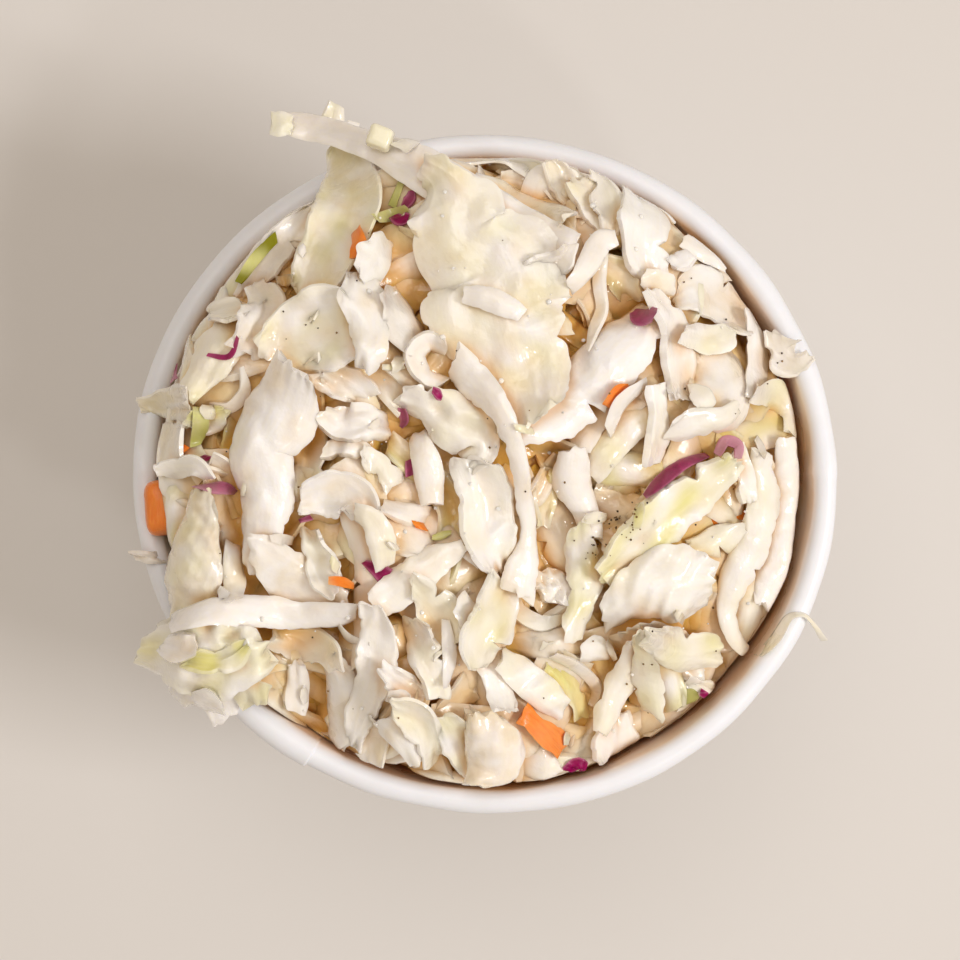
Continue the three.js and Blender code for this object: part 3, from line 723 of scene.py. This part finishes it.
    ("leaf", [(23.5, 4.5, 2), (27, 5.8, 3.6), (30.5, 6.6, 3), (32.5, 8, 1)], {}),
    # the lower left, out over the lip
    ("leaf", [(-39.3, -24.5, 3.5), (-38.2, -27.2, 5.5), (-37.4, -29.6, 2.5)],
     {"over": True, "tint": 0.1, "bumps": 0.3, "thick": 1.1, "pleat": 0.5, "cup": 1}),
    ("leaf", [(-33.5, -26, 4), (-33.4, -28.6, 5.6), (-33, -31.2, 2.6)],
     {"over": True, "bumps": 0.3, "thick": 1.2, "cup": 1, "lift": 0.2}),
    ("leaf", [(-30, -25, 3), (-30.2, -27.2, 4.6), (-29.6, -29.6, 2)], {"over": True, "tint": 0.4}),
    ("leaf", [(-30, -20.6, 3), (-34, -20.6, 4.6), (-38, -20.6, 5), (-41.5, -21.4, 2.4)],
     {"over": True, "thick": 1.2, "cup": 1, "curl": 1.6, "lift": 0.3}),
    ("leaf", [(-43.9, -22.7, 2.4), (-41.5, -22.7, 5.5), (-38, -23.6, 8.6), (-34, -24.2, 9.6),
              (-30.4, -23.8, 7), (-28.2, -22.4, 3)],
     {"over": True, "tint": 0.16, "bumps": 0.55, "bumpSize": 4.2, "thick": 1.3, "pleat": 0.9, "pleats": 1.7,
      "wave": 0.7, "ragged": 0.6, "notches": 2, "cup": 1, "curl": 1.2, "lift": 0.7, "lean": 5}),
    ("leaf", [(-38.5, -24.6, 2), (-35.4, -25.2, 3.6), (-32.4, -24.4, 3.4), (-30.6, -22.8, 1.6)],
     {"over": True, "tint": 0.75, "cup": -1, "curl": 1.8, "lift": 0.2}),
    ("chunk", [(-41.4, -22.2, 2.4), (-39.2, -22.9, 3.6), (-37.2, -22.6, 2)],
     {"over": True, "bumps": 0.35, "lift": 0.2, "clear": 0.4}),
    ("chunk", [(-36.8, -28.2, 2), (-35.4, -29.6, 3), (-34.6, -31, 1.6)], {"over": True, "bumps": 0.3}),
    ("leaf", [(-27.5, -21.5, 2.5), (-24, -22, 4.2), (-20.5, -23.5, 4.4), (-19.2, -25.6, 1.5)],
     {"tint": 0.25}),
    ("strip", [(-24.4, -24.5, 2.2), (-24.2, -28, 2.7), (-24.5, -30.8, 2.4)], {}),
    ("rib", [(-40.5, -19.8, 2.4), (-35, -18.4, 3.4), (-29, -18.2, 4), (-23, -18.7, 3.3), (-18.5, -18.6, 2.8),
             (-16.6, -18.4, 1.2)], {"over": True, "thick": 1.9, "lift": 0.5, "bend": 2}),
    ("rib", [(-32.6, -9.6, 1), (-32.7, -12.5, 2.4), (-32.4, -15, 2.9), (-32.6, -17, 1.2)], {"thick": 1.5}),
    ("sliver", [(-18.8, -20, 0.6), (-17.2, -21.8, 1), (-14.9, -22.5, 0.4)], {}),
    # the bottom
    ("leaf", [(-9.5, -15, 3), (-6, -18.5, 5), (-4.5, -23, 3.5)], {"tint": 0.3}),
    ("leaf", [(-14.5, -17.5, 2.5), (-13.8, -22, 4.6), (-14.3, -27, 4.2), (-16, -31.5, 3.4),
              (-17, -35.5, 1.6)], {}),
    ("leaf", [(-13.5, -25.5, 2), (-10.5, -28, 3.6), (-8, -29.5, 1.5)], {"clear": 0.2}),
    ("leaf", [(-12.6, -29, 1), (-11, -29.3, 1.8), (-9.7, -30, 0.6)], {}),
    ("strip", [(-9, -19.5, 2), (-7.8, -24, 3.6), (-6, -29.3, 1.6)], {}),
    ("sliver", [(-5.2, -19.5, 1), (-4.7, -24, 1.8), (-5.2, -28.3, 0.6)], {}),
    ("leaf", [(-12, -30.5, 2.5), (-9, -32, 5), (-7.2, -35, 3.5), (-7, -37.6, 0.8)], {}),
    ("leaf", [(-5.5, -32, 3), (-3.2, -35, 4.6), (-1.6, -38.5, 3.4), (0.6, -41.4, 1)], {}),
    ("leaf", [(0, -31.5, 3), (1, -34.5, 8.5), (1, -38, 8), (-0.5, -41, 2)],
     {"clear": 0.8, "thick": 1.5, "broad": 1.05, "bumps": 0.4, "bumpSize": 3.0, "cup": 1, "curl": 2.2}),
    ("strip", [(-3.5, -17, 2), (-0.5, -21.5, 3.6), (1, -26, 3.8), (2.6, -31, 2)], {}),
    ("rib", [(2, -24.3, 1.5), (4.8, -26.3, 4.2), (7.5, -28.5, 4.2), (10.2, -30.6, 1.5)], {"bumps": 0.3}),
    ("sliver", [(8.5, -23.8, 1), (12, -25.3, 1.5), (14.3, -28, 1.5), (13.6, -30, 1)], {"clear": 0.6}),
    ("leaf", [(16.5, -31.5, 2.5), (16.8, -34.5, 5.6), (16.8, -37.5, 5), (16.5, -39.5, 2)], {"thick": 1.3}),
    ("red", [(10.6, -38.6, 1.8), (12, -37.8, 2.8), (13.3, -38.8, 1.6)], {"tint": 0.0, "bumps": 0.6}),
    ("carrot", [(4.6, -31.2, 2.6), (7.3, -33.3, 3.0), (9.8, -35.6, 2.8)],
     {"lift": 0.4, "ragged": 0.3, "thick": 2.2, "slant": 0.2, "blunt": 0.9, "jag": 0.3}),
    # the middle and the strand down it
    ("leaf", [(-2.5, 1, 3.5), (-0.5, -3, 6.5), (0, -8, 6.5), (1.5, -13, 4)], {"thick": 1.2, "tint": 0.15}),
    ("sliver", [(3.2, -14, 1.6), (4, -17.8, 2.2), (7.5, -19.8, 2), (10.3, -19, 1)], {}),
    ("leaf", [(2, -14, 3), (1.2, -18.5, 6), (-0.8, -23, 5.5), (-1, -25.5, 2)], {}),
    ("strip", [(11, 2.5, 3), (11.2, -2, 4.4), (12.8, -5.5, 3), (13.6, -9, 1)], {}),
    ("chunk", [(7, -13.2, 2.5), (8.7, -15, 4.4), (9.2, -17.3, 2)], {"bumps": 0.5, "bumpSize": 1.4}),
    ("leaf", [(11.9, -7.3, 0.6), (12.2, -11, 3.8), (12.7, -14.5, 4), (11.9, -18, 3), (11.1, -22, 0.5)], {}),
    ("strip", [(-4, 13.8, 2), (-2.2, 11.8, 4), (1, 8.3, 2.8), (3, 4.5, 2.2), (4.4, 0, 1.9), (5.1, -5, 1.7),
               (5.4, -9.5, 2), (4.6, -12.5, 3.6), (4, -16, 4.5)], {"lift": 0.5, "bend": 3}),
    # the right side
    ("carrot", [(28.6, -6.6, 1.2), (30.5, -5.8, 1.8), (33.4, -5.2, 1.8)], {"lift": -1.5}),
    ("leaf", [(33, -7.5, 2), (30, -9, 4), (26.5, -10.5, 3)], {}),
    ("strip", [(38.8, 4.3, 2), (39.2, -1, 3.4), (38.6, -7, 3.6), (37.2, -13, 4.2), (35.8, -16.8, 1.6)], {}),
    ("strip", [(35.6, 2.5, 2), (36, -3, 3.6), (34.6, -9, 4.2), (32, -14.5, 3.4), (31.4, -18.5, 2.2),
               (32.4, -21.5, 1.5), (34.5, -23.3, 0.5)], {}),
    ("strip", [(32.3, 3, 1.8), (33, 0, 2.6), (34, -4, 2)], {}),
    ("leaf", [(32, 1, 1.5), (29.5, -1, 4), (25.5, -4, 5.2), (21, -8, 5.4), (17.5, -11, 3.8),
              (14.6, -13.8, 1.5)],
     {"thick": 1.8, "lift": 0.4, "tint": 0.3}),
    ("red", [(20.6, -3.6, 0.6), (22.8, -1.4, 1.8), (25.3, 0.6, 1.6), (28.6, 2, 0.7)],
     {"tint": 0.15, "lift": 0.2}),
    ("red", [(30, 2, 1), (31, 3.9, 1.6), (32.6, 3.3, 1.6), (32.4, 1.4, 1)], {"tint": 0.8}),
    ("leaf", [(15.3, -18.8, 1.5), (18, -16.3, 5), (21.5, -14.8, 8), (25.5, -14.5, 8.5), (29, -14.3, 5)],
     {"bumps": 0.5, "thick": 1.5, "lift": 0.4, "cup": 1}),
    ("leaf", [(18, -20.5, 3), (23, -23.5, 7), (25.5, -27, 5)], {"lift": -0.6}),
    ("leaf", [(26, -27, 1.5), (28, -27.3, 2), (29.5, -28, 1)], {"clear": 0.5}),
    ("green", [(25.3, -28.6, 1.4), (26.3, -28.8, 2.2), (27.3, -29.3, 1)], {"tint": 0.5}),
    ("red", [(27.7, -28.2, 0.9), (28.6, -28.8, 0.9)], {"tint": 0.0}),
    ("leaf", [(19.6, -20.6, 1.5), (18, -25, 4.2), (16, -29, 3.6), (14.3, -33, 1)], {}),
    ("leaf", [(20.8, -21, 1.5), (23.2, -26, 4), (24.3, -30.5, 1.8)], {}),
    ("leaf", [(20, -21, 1.5), (20.6, -26, 3.2), (21.6, -31, 2.6)], {"lift": 0.3}),
    ("leaf", [(20.5, -21.5, 1.5), (25, -22.8, 4.8), (30.2, -22.7, 0.8)], {"tint": 0.2}),
    ("chunk", [(12.2, -23.3, 1), (14, -22.8, 3), (15.8, -23, 1)], {}),
    ("sliver", [(34.6, -23.2, 0.7), (36.6, -20.4, 1.1), (38.8, -18.4, 0.9), (41, -18.4, 0.6),
                (42.6, -20, 0.6), (43.3, -21.4, 0.9)],
     {"over": True, "tint": 0.25, "thick": 0.45, "clear": 0.9, "vary": 0.0}),
]
for index, (kind, knots, changes) in enumerate(shown):
    shred(kind, knots, 40 + 23 * index, **changes)


def block(x, y, size, turn, seed, ground=tub["height"], tint=0.05, boxiness=0.5):
    # a cut block with worn corners: a ball's sines and cosines, drawn out toward a box's by a low power
    down = np.linspace(0.1, np.pi - 0.1, 15)[:, None]
    around = np.linspace(0, 2 * np.pi, 26, endpoint=False)[None]
    waves = (np.sin(down), np.cos(down), np.cos(around), np.sin(around))
    out, rise, wide, deep = (np.sign(wave) * np.abs(wave) ** boxiness for wave in waves)
    a, b, c = out * wide * size[0] / 2, out * deep * size[1] / 2, rise * size[2] / 2 + 0 * around
    worn = 1 + 0.09 * ripple(a + 0.6 * c, b - 0.5 * c, 3.4, seed) - 0.06 * c
    a, b = a * worn, b * worn
    looked = 1 - (heapAt(heap, np.array([x]), np.array([y]))[0] - tub["height"]) / plan["eye"]
    level = ground + size[2] * 0.42
    points = np.stack([x * looked + a * np.cos(turn) - b * np.sin(turn),
                       y * looked + a * np.sin(turn) + b * np.cos(turn), level + c * worn + 0.12 * a], -1)
    raiseHeap(points)
    flat = np.zeros(points.shape[:2])
    return {"points": points, "values": {"lie": np.stack([b, a, c], -1), "tint": flat + tint, "clear": flat,
                                         "rim": flat, "tone": flat + 0.5}}


# a whole block of carrot sits on the lip at the left, and a pale green one of cabbage on the long rib
shapes["carrot"].append(block(-41.7, -4.5, (4.6, 6.8, 4.4), np.radians(4), 77))
ribTop = heapAt(heap, np.array([-13.2]), np.array([41.6]))[0]
shapes["chunk"].append(block(-13.7, 42.9, (3.2, 2.9, 2.4), np.radians(-20), 91, ribTop - 0.4, 0.45, 0.36))
# crumbs and short ends, scattered over everything from a seed of their own
crumbs = {"seed": 7, "number": 20, "reach": 39.5}
sprinkle = np.random.default_rng(crumbs["seed"])
for index in range(crumbs["number"]):
    away, around = crumbs["reach"] * np.sqrt(sprinkle.uniform()), sprinkle.uniform(0, 2 * np.pi)
    spot = np.array([away * np.cos(around), away * np.sin(around)])
    heading, long, broad = sprinkle.uniform(0, np.pi), sprinkle.uniform(1.0, 3.4), sprinkle.uniform(0.6, 1.8)
    step = 0.5 * long * np.array([np.cos(heading), np.sin(heading)])
    knots = [(*(spot - step), 0.7 * broad), (*spot, broad), (*(spot + step), 0.6 * broad)]
    shred("chunk", knots, 9000 + index, 0.28, thick=0.8, lift=-0.15, clear=sprinkle.uniform(0, 0.6),
          tint=0.6 * sprinkle.uniform() ** 3)
print("the shreds that show are laid")


def pebble(x, y, size, seed, flat=0.8, lumpy=0.25, sunk=0.2):
    # a small lumpy ball on the heap, or a drop when it is flat and smooth: rings round an upright axis
    rows, steps = 6, 9
    down = np.linspace(0.12, np.pi - 0.12, rows)[:, None]
    turn = np.linspace(0, 2 * np.pi, steps, endpoint=False)[None]
    out = 3 * np.sin(down)
    lump = 1 + lumpy * ripple(out * np.cos(turn), out * np.sin(turn) + 2 * down, 3.0, seed)
    radius = size / 2 * lump
    looked = 1 - (heapAt(heap, np.array([x]), np.array([y]))[0] - tub["height"]) / plan["eye"]
    x, y = x * looked, y * looked
    level = heapAt(heapLast, np.array([x]), np.array([y]))[0]
    points = np.stack([x + radius * np.sin(down) * np.cos(turn), y + radius * np.sin(down) * np.sin(turn),
                       level + (flat * radius * np.cos(down)) + size * (flat / 2 - sunk)], -1)
    even = np.zeros(points.shape[:2])
    return {"points": points, "values": {"low": even, "tone": even + seed % 7 / 7}}


# ground pepper, loose over the heap and thicker in two clusters, and drops of dressing
heapLast = heap.copy()
pepper = {"seed": 31, "size": (0.12, 0.30), "number": 40, "reach": 38,
          "clusters": ((18, -6.4, 1.6, 34), (14, -10.2, 0.8, 12), (37.4, 14, 1.6, 4), (20.2, -24.6, 1.8, 3))}
shake = np.random.default_rng(pepper["seed"])
spots = [shake.normal((x, y), spread) for x, y, spread, number in pepper["clusters"] for _ in range(number)]
for _ in range(pepper["number"]):
    away, around = pepper["reach"] * np.sqrt(shake.uniform()), shake.uniform(0, 2 * np.pi)
    spots.append((away * np.cos(around), away * np.sin(around)))
peppers = [pebble(x, y, shake.uniform(*pepper["size"]), 5000 + n) for n, (x, y) in enumerate(spots)]
drops = {"seed": 44, "number": 80, "size": (0.25, 0.8), "reach": 39}
drip = np.random.default_rng(drops["seed"])
beads = []
for n in range(drops["number"]):
    away, around = drops["reach"] * np.sqrt(drip.uniform()), drip.uniform(0, 2 * np.pi)
    size = between(*drops["size"], drip.uniform() ** 2.5)
    beads.append(pebble(away * np.cos(around), away * np.sin(around), size, 6000 + n, flat=0.4, lumpy=0.12,
                        sunk=0.14))
print("pepper and drops are on")


# blurred tops of the heap, that the depth for the painted shade is measured down from
inside = (gridRound < tub["lipRadius"]) * 1.0
heapSmooth = blurred(heap, inside, 2.6)
heapNear = blurred(heap, inside, 1.0)


def paintedGapShade(points):
    # how deep in the heap each point lies, 0 to 1, beside its wide surroundings and its near ones: how much
    # painted shade, ochre in the gaps and under overlapping pieces, its material gets
    x, y, z = points[..., 0], points[..., 1], points[..., 2]
    deep = np.maximum(smoothStep(0.2, 3.8, heapAt(heapSmooth, x, y) - z),
                      0.55 * smoothStep(0.1, 1.8, heapAt(heapNear, x, y) - z))
    return deep * (1 - smoothStep(wallTop - 2, wallTop, np.hypot(x, y)))


def wetCabbage():
    # raw white cabbage, cut and tossed in thin dressing: waxy cream flesh, clearer where it is thin and
    # limp, pale green by the outer leaves, with fine lengthwise veins under a wet uneven gloss; painted
    # highlights along the long edges and painted ochre shade, with some pooled dressing, deep in the heap's
    # gaps
    material, tree = newMaterial("dressed white cabbage")
    place = put(tree, "ShaderNodeTexCoord")
    lie, tint, clear, rim, tone, low = (put(tree, "ShaderNodeAttribute", attribute_name=name)
                                        for name in ("lie", "tint", "clear", "rim", "tone", "low"))
    stretched = put(tree, "ShaderNodeVectorMath", {0: lie.outputs["Vector"], 1: (0.14, 1.3, 3.7)},
                    operation="MULTIPLY")
    veins = put(tree, "ShaderNodeTexNoise", {"Vector": stretched.outputs[0], "Scale": 1.0, "Detail": 3.0,
                                             "Roughness": 0.55})
    blotch = put(tree, "ShaderNodeTexNoise", {"Vector": place.outputs["Object"], "Scale": 240, "Detail": 2.0})
    flesh = put(tree, "ShaderNodeMix", {0: tone.outputs["Fac"], 6: linear("#FAF8F9"), 7: linear("#F9F3EE")},
                data_type="RGBA")
    patchy = put(tree, "ShaderNodeMapRange", {"Value": blotch.outputs["Fac"], "From Min": 0.3,
                                              "From Max": 0.65})
    limp = put(tree, "ShaderNodeMath", {0: clear.outputs["Fac"], 1: patchy.outputs[0]}, operation="MULTIPLY")
    thin = put(tree, "ShaderNodeMix", {0: limp.outputs[0], 6: flesh.outputs[2], 7: linear("#ECDDC4")},
               data_type="RGBA")
    green = put(tree, "ShaderNodeMix", {0: tint.outputs["Fac"], 6: thin.outputs[2], 7: linear("#E3DC8E")},
                data_type="RGBA")
    veinShare = put(tree, "ShaderNodeMapRange", {"Value": veins.outputs["Fac"], "From Min": 0.45,
                                                 "From Max": 0.7, "To Max": 0.22})
    veined = put(tree, "ShaderNodeMix", {0: veinShare.outputs[0], 6: green.outputs[2], 7: linear("#F6ECD2")},
                 data_type="RGBA")
    # painted highlight: each piece's long edges are mixed toward near white
    pale = put(tree, "ShaderNodeMath", {0: rim.outputs["Fac"], 1: 0.3}, operation="MULTIPLY")
    edged = put(tree, "ShaderNodeMix", {0: pale.outputs[0], 6: veined.outputs[2], 7: linear("#FFFBF4")},
                data_type="RGBA")
    # painted shade, with some pooled dressing: points deep in the heap's gaps and under other pieces are
    # mixed toward ochre
    deep = put(tree, "ShaderNodeMath", {0: low.outputs["Fac"], 1: 0.88}, operation="MULTIPLY")
    gapShaded = put(tree, "ShaderNodeMix", {0: deep.outputs[0], 6: edged.outputs[2], 7: linear("#E6AA34")},
                 data_type="RGBA")
    gloss = put(tree, "ShaderNodeMapRange", {"Value": limp.outputs[0], "To Min": 0.36, "To Max": 0.2})
    film = put(tree, "ShaderNodeBump", {"Height": blotch.outputs["Fac"], "Strength": 0.5, "Distance": 0.0004})
    grain = put(tree, "ShaderNodeTexNoise", {"Vector": place.outputs["Object"], "Scale": 1100, "Detail": 2.0})
    beads = put(tree, "ShaderNodeBump", {"Height": grain.outputs["Fac"], "Strength": 0.5, "Distance": 0.00016,
                                         "Normal": film.outputs[0]})
    bump = put(tree, "ShaderNodeBump", {"Height": veins.outputs["Fac"], "Strength": 0.4, "Distance": 0.00012,
                                        "Normal": beads.outputs[0]})
    shader = put(tree, "ShaderNodeBsdfPrincipled", {
        "Base Color": gapShaded.outputs[2], "Roughness": gloss.outputs[0], "Normal": bump.outputs[0],
        "IOR": 1.38, "Subsurface Weight": 0.45, "Subsurface Radius": (0.8, 0.8, 1.05),
        "Subsurface Scale": 0.0014, "Coat Weight": 0.9, "Coat Roughness": 0.08, "Coat IOR": 1.4,
        "Coat Normal": beads.outputs[0]})
    put(tree, "ShaderNodeOutputMaterial", {"Surface": shader.outputs[0]})
    return material


def wetRoot():
    # raw carrot, cut: saturated orange with paler lengthwise fibres and a wet cut face, painted a darker
    # orange shade where it lies deep in the heap
    material, tree = newMaterial("cut carrot")
    lie, tint, low = (put(tree, "ShaderNodeAttribute", attribute_name=name)
                      for name in ("lie", "tint", "low"))
    stretched = put(tree, "ShaderNodeVectorMath", {0: lie.outputs["Vector"], 1: (0.5, 2.2, 3.7)},
                    operation="MULTIPLY")
    fibre = put(tree, "ShaderNodeTexNoise", {"Vector": stretched.outputs[0], "Scale": 1.2, "Detail": 3.0})
    orange = put(tree, "ShaderNodeMix", {0: fibre.outputs["Fac"], 6: linear("#EA6C0C"), 7: linear("#FF9C3C")},
                 data_type="RGBA")
    creamed = put(tree, "ShaderNodeMix", {0: tint.outputs["Fac"], 6: orange.outputs[2], 7: linear("#F6D2A0")},
                  data_type="RGBA")
    # painted shade: carrot deep in the heap's gaps is mixed toward dark orange
    deep = put(tree, "ShaderNodeMath", {0: low.outputs["Fac"], 1: 0.6}, operation="MULTIPLY")
    gapShaded = put(tree, "ShaderNodeMix", {0: deep.outputs[0], 6: creamed.outputs[2], 7: linear("#C8600E")},
                 data_type="RGBA")
    bump = put(tree, "ShaderNodeBump", {"Height": fibre.outputs["Fac"], "Strength": 0.5, "Distance": 0.0003})
    shader = put(tree, "ShaderNodeBsdfPrincipled", {
        "Base Color": gapShaded.outputs[2], "Roughness": 0.34, "Normal": bump.outputs[0], "IOR": 1.38,
        "Subsurface Weight": 0.35, "Subsurface Radius": (1.0, 0.45, 0.15), "Subsurface Scale": 0.0012,
        "Coat Weight": 0.25, "Coat Roughness": 0.12, "Coat IOR": 1.36})
    put(tree, "ShaderNodeOutputMaterial", {"Surface": shader.outputs[0]})
    return material


def redLeaf():
    # red cabbage: magenta to maroon skin that bleeds to pink, and pale lilac flesh where it is cut
    material, tree = newMaterial("cut red cabbage")
    lie, tint, rim = (put(tree, "ShaderNodeAttribute", attribute_name=name)
                      for name in ("lie", "tint", "rim"))
    veins = put(tree, "ShaderNodeTexNoise", {"Vector": lie.outputs["Vector"], "Scale": 1.4, "Detail": 4.0})
    skin = put(tree, "ShaderNodeMix", {0: veins.outputs["Fac"], 6: linear("#540222"), 7: linear("#B20E68")},
               data_type="RGBA")
    bleed = put(tree, "ShaderNodeMix", {0: tint.outputs["Fac"], 6: skin.outputs[2], 7: linear("#D6A4B0")},
                data_type="RGBA")
    cut = put(tree, "ShaderNodeMath", {0: rim.outputs["Fac"], 1: 0.4}, operation="MULTIPLY")
    edged = put(tree, "ShaderNodeMix", {0: cut.outputs[0], 6: bleed.outputs[2], 7: linear("#E09AB8")},
                data_type="RGBA")
    bump = put(tree, "ShaderNodeBump", {"Height": veins.outputs["Fac"], "Strength": 0.5, "Distance": 0.0003})
    shader = put(tree, "ShaderNodeBsdfPrincipled", {
        "Base Color": edged.outputs[2], "Roughness": 0.32, "Normal": bump.outputs[0], "IOR": 1.38,
        "Subsurface Weight": 0.05, "Subsurface Radius": (1.0, 0.3, 0.5), "Subsurface Scale": 0.0008,
        "Coat Weight": 0.1, "Coat Roughness": 0.1, "Coat IOR": 1.36, "Specular IOR Level": 0.3})
    put(tree, "ShaderNodeOutputMaterial", {"Surface": shader.outputs[0]})
    return material


def greenLeaf():
    # the cabbage's outer leaf: yellow green to olive, smooth and waxy
    material, tree = newMaterial("green cabbage leaf")
    lie, tint = (put(tree, "ShaderNodeAttribute", attribute_name=name) for name in ("lie", "tint"))
    veins = put(tree, "ShaderNodeTexNoise", {"Vector": lie.outputs["Vector"], "Scale": 1.2, "Detail": 3.0})
    pale = put(tree, "ShaderNodeMix", {0: veins.outputs["Fac"], 6: linear("#E6E2A6"), 7: linear("#D3D67E")},
               data_type="RGBA")
    deep = put(tree, "ShaderNodeMix", {0: tint.outputs["Fac"], 6: pale.outputs[2], 7: linear("#8C8A1C")},
               data_type="RGBA")
    bump = put(tree, "ShaderNodeBump", {"Height": veins.outputs["Fac"], "Strength": 0.4, "Distance": 0.0002})
    shader = put(tree, "ShaderNodeBsdfPrincipled", {
        "Base Color": deep.outputs[2], "Roughness": 0.34, "Normal": bump.outputs[0], "IOR": 1.38,
        "Subsurface Weight": 0.3, "Subsurface Radius": (0.8, 1.0, 0.3), "Subsurface Scale": 0.001,
        "Coat Weight": 0.45, "Coat Roughness": 0.12, "Coat IOR": 1.36})
    put(tree, "ShaderNodeOutputMaterial", {"Surface": shader.outputs[0]})
    return material


def groundPepper():
    # ground black pepper: nearly black husk with some tan kernel
    material, tree = newMaterial("ground black pepper")
    tone = put(tree, "ShaderNodeAttribute", attribute_name="tone")
    husk = put(tree, "ShaderNodeMix", {0: tone.outputs["Fac"], 6: linear("#32240F"), 7: linear("#94703A")},
               data_type="RGBA")
    shader = put(tree, "ShaderNodeBsdfPrincipled", {"Base Color": husk.outputs[2], "Roughness": 0.6})
    put(tree, "ShaderNodeOutputMaterial", {"Surface": shader.outputs[0]})
    return material


def thinDressing():
    # mayonnaise let down with vinegar: milky, half clear and glossy
    material, tree = newMaterial("thin dressing")
    shader = put(tree, "ShaderNodeBsdfPrincipled", {
        "Base Color": linear("#FDF6E8"), "Roughness": 0.12, "IOR": 1.38, "Subsurface Weight": 0.5,
        "Subsurface Radius": (1.0, 0.8, 0.6), "Subsurface Scale": 0.0015, "Coat Weight": 0.6,
        "Coat Roughness": 0.05})
    put(tree, "ShaderNodeOutputMaterial", {"Surface": shader.outputs[0]})
    return material


cabbage = wetCabbage()
finishes = {"carrot": wetRoot(), "red": redLeaf(), "green": greenLeaf()}
shapes["core"] = [slawCore()]
titles = {"leaf": "cabbage_leaves", "strip": "cabbage_strips", "rib": "cabbage_ribs",
          "chunk": "cabbage_chunks", "sliver": "cabbage_slivers", "loose leaf": "loose_leaves",
          "loose strip": "loose_strips", "loose rib": "loose_ribs", "carrot": "carrot_pieces",
          "red": "red_cabbage", "green": "green_cabbage", "core": "slaw_core"}
for group, title in titles.items():
    for shape in shapes[group]:
        # painted shade: each shape's depth in the heap sets how much ochre shade its material paints on
        shape["values"]["low"] = paintedGapShade(shape["points"])
    piece = newPiece(title, shapes[group], finishes.get(group, cabbage), sharp=52)
    if group == "core":
        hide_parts("coleslaw")

scattered = (("pepper_specks", peppers, groundPepper()), ("dressing_drops", beads, thinDressing()))
for title, bits, finish in scattered:
    newPiece(title, bits, finish)

# the floor, lights and camera
floorMesh = bpy.data.meshes.new("floor")
floorMesh.from_pydata([(-1.5, -1.5, 0), (1.5, -1.5, 0), (1.5, 1.5, 0), (-1.5, 1.5, 0)], [], [(0, 1, 2, 3)])
floorPaint, floorTree = newMaterial("pale floor")
floorShader = put(floorTree, "ShaderNodeBsdfPrincipled", {"Base Color": linear("#D9D5D0"), "Roughness": 0.7})
put(floorTree, "ShaderNodeOutputMaterial", {"Surface": floorShader.outputs[0]})
floorMesh.materials.append(floorPaint)
floor = bpy.data.objects.new("floor", floorMesh)
bpy.context.scene.collection.objects.link(floor)

world = bpy.data.worlds.new("studio")
world.use_nodes = True
world.node_tree.nodes["Background"].inputs["Color"].default_value = linear("#FFEDD8")
world.node_tree.nodes["Background"].inputs["Strength"].default_value = 0.47
bpy.context.scene.world = world
bpy.context.scene.view_settings.view_transform = "Standard"

lights = {
    "key": {"at": (0.75, -0.18, 0.86), "size": 0.30, "power": 6.1, "colour": "#FEFDFF"},
    "glint": {"at": (0.30, -0.42, 0.75), "size": 0.06, "power": 0.55, "colour": "#FFFFFF"},
    "top": {"at": (-0.08, 0.22, 0.85), "size": 0.50, "power": 1.6, "colour": "#FEFDFF"},
}
for name, light in lights.items():
    lamp = bpy.data.lights.new(name, "AREA")
    lamp.shape = "SQUARE"
    lamp.size = light["size"]
    lamp.energy = light["power"]
    lamp.color = linear(light["colour"])[:3]
    holder = bpy.data.objects.new(name, lamp)
    holder.location = light["at"]
    holder.rotation_euler = (Vector((0, 0, 0.06)) - holder.location).to_track_quat("-Z", "Y").to_euler()
    bpy.context.scene.collection.objects.link(holder)

view = {"distance": 0.320, "elevation": np.radians(87.5), "aim": (-0.00074, -0.00094), "lens": 92.7}
target = Vector((view["aim"][0], view["aim"][1], tub["height"] / 1000))
back = Vector((0, -np.cos(view["elevation"]), np.sin(view["elevation"])))
camera = bpy.data.cameras.new("camera")
camera.lens = view["lens"]
camera.sensor_width = 36
camera.clip_start = 0.01
cameraHolder = bpy.data.objects.new("camera", camera)
cameraHolder.location = target + back * view["distance"]
cameraHolder.rotation_euler = (-back).to_track_quat("-Z", "Y").to_euler()
bpy.context.scene.collection.objects.link(cameraHolder)
bpy.context.scene.camera = cameraHolder

print("ready to render")
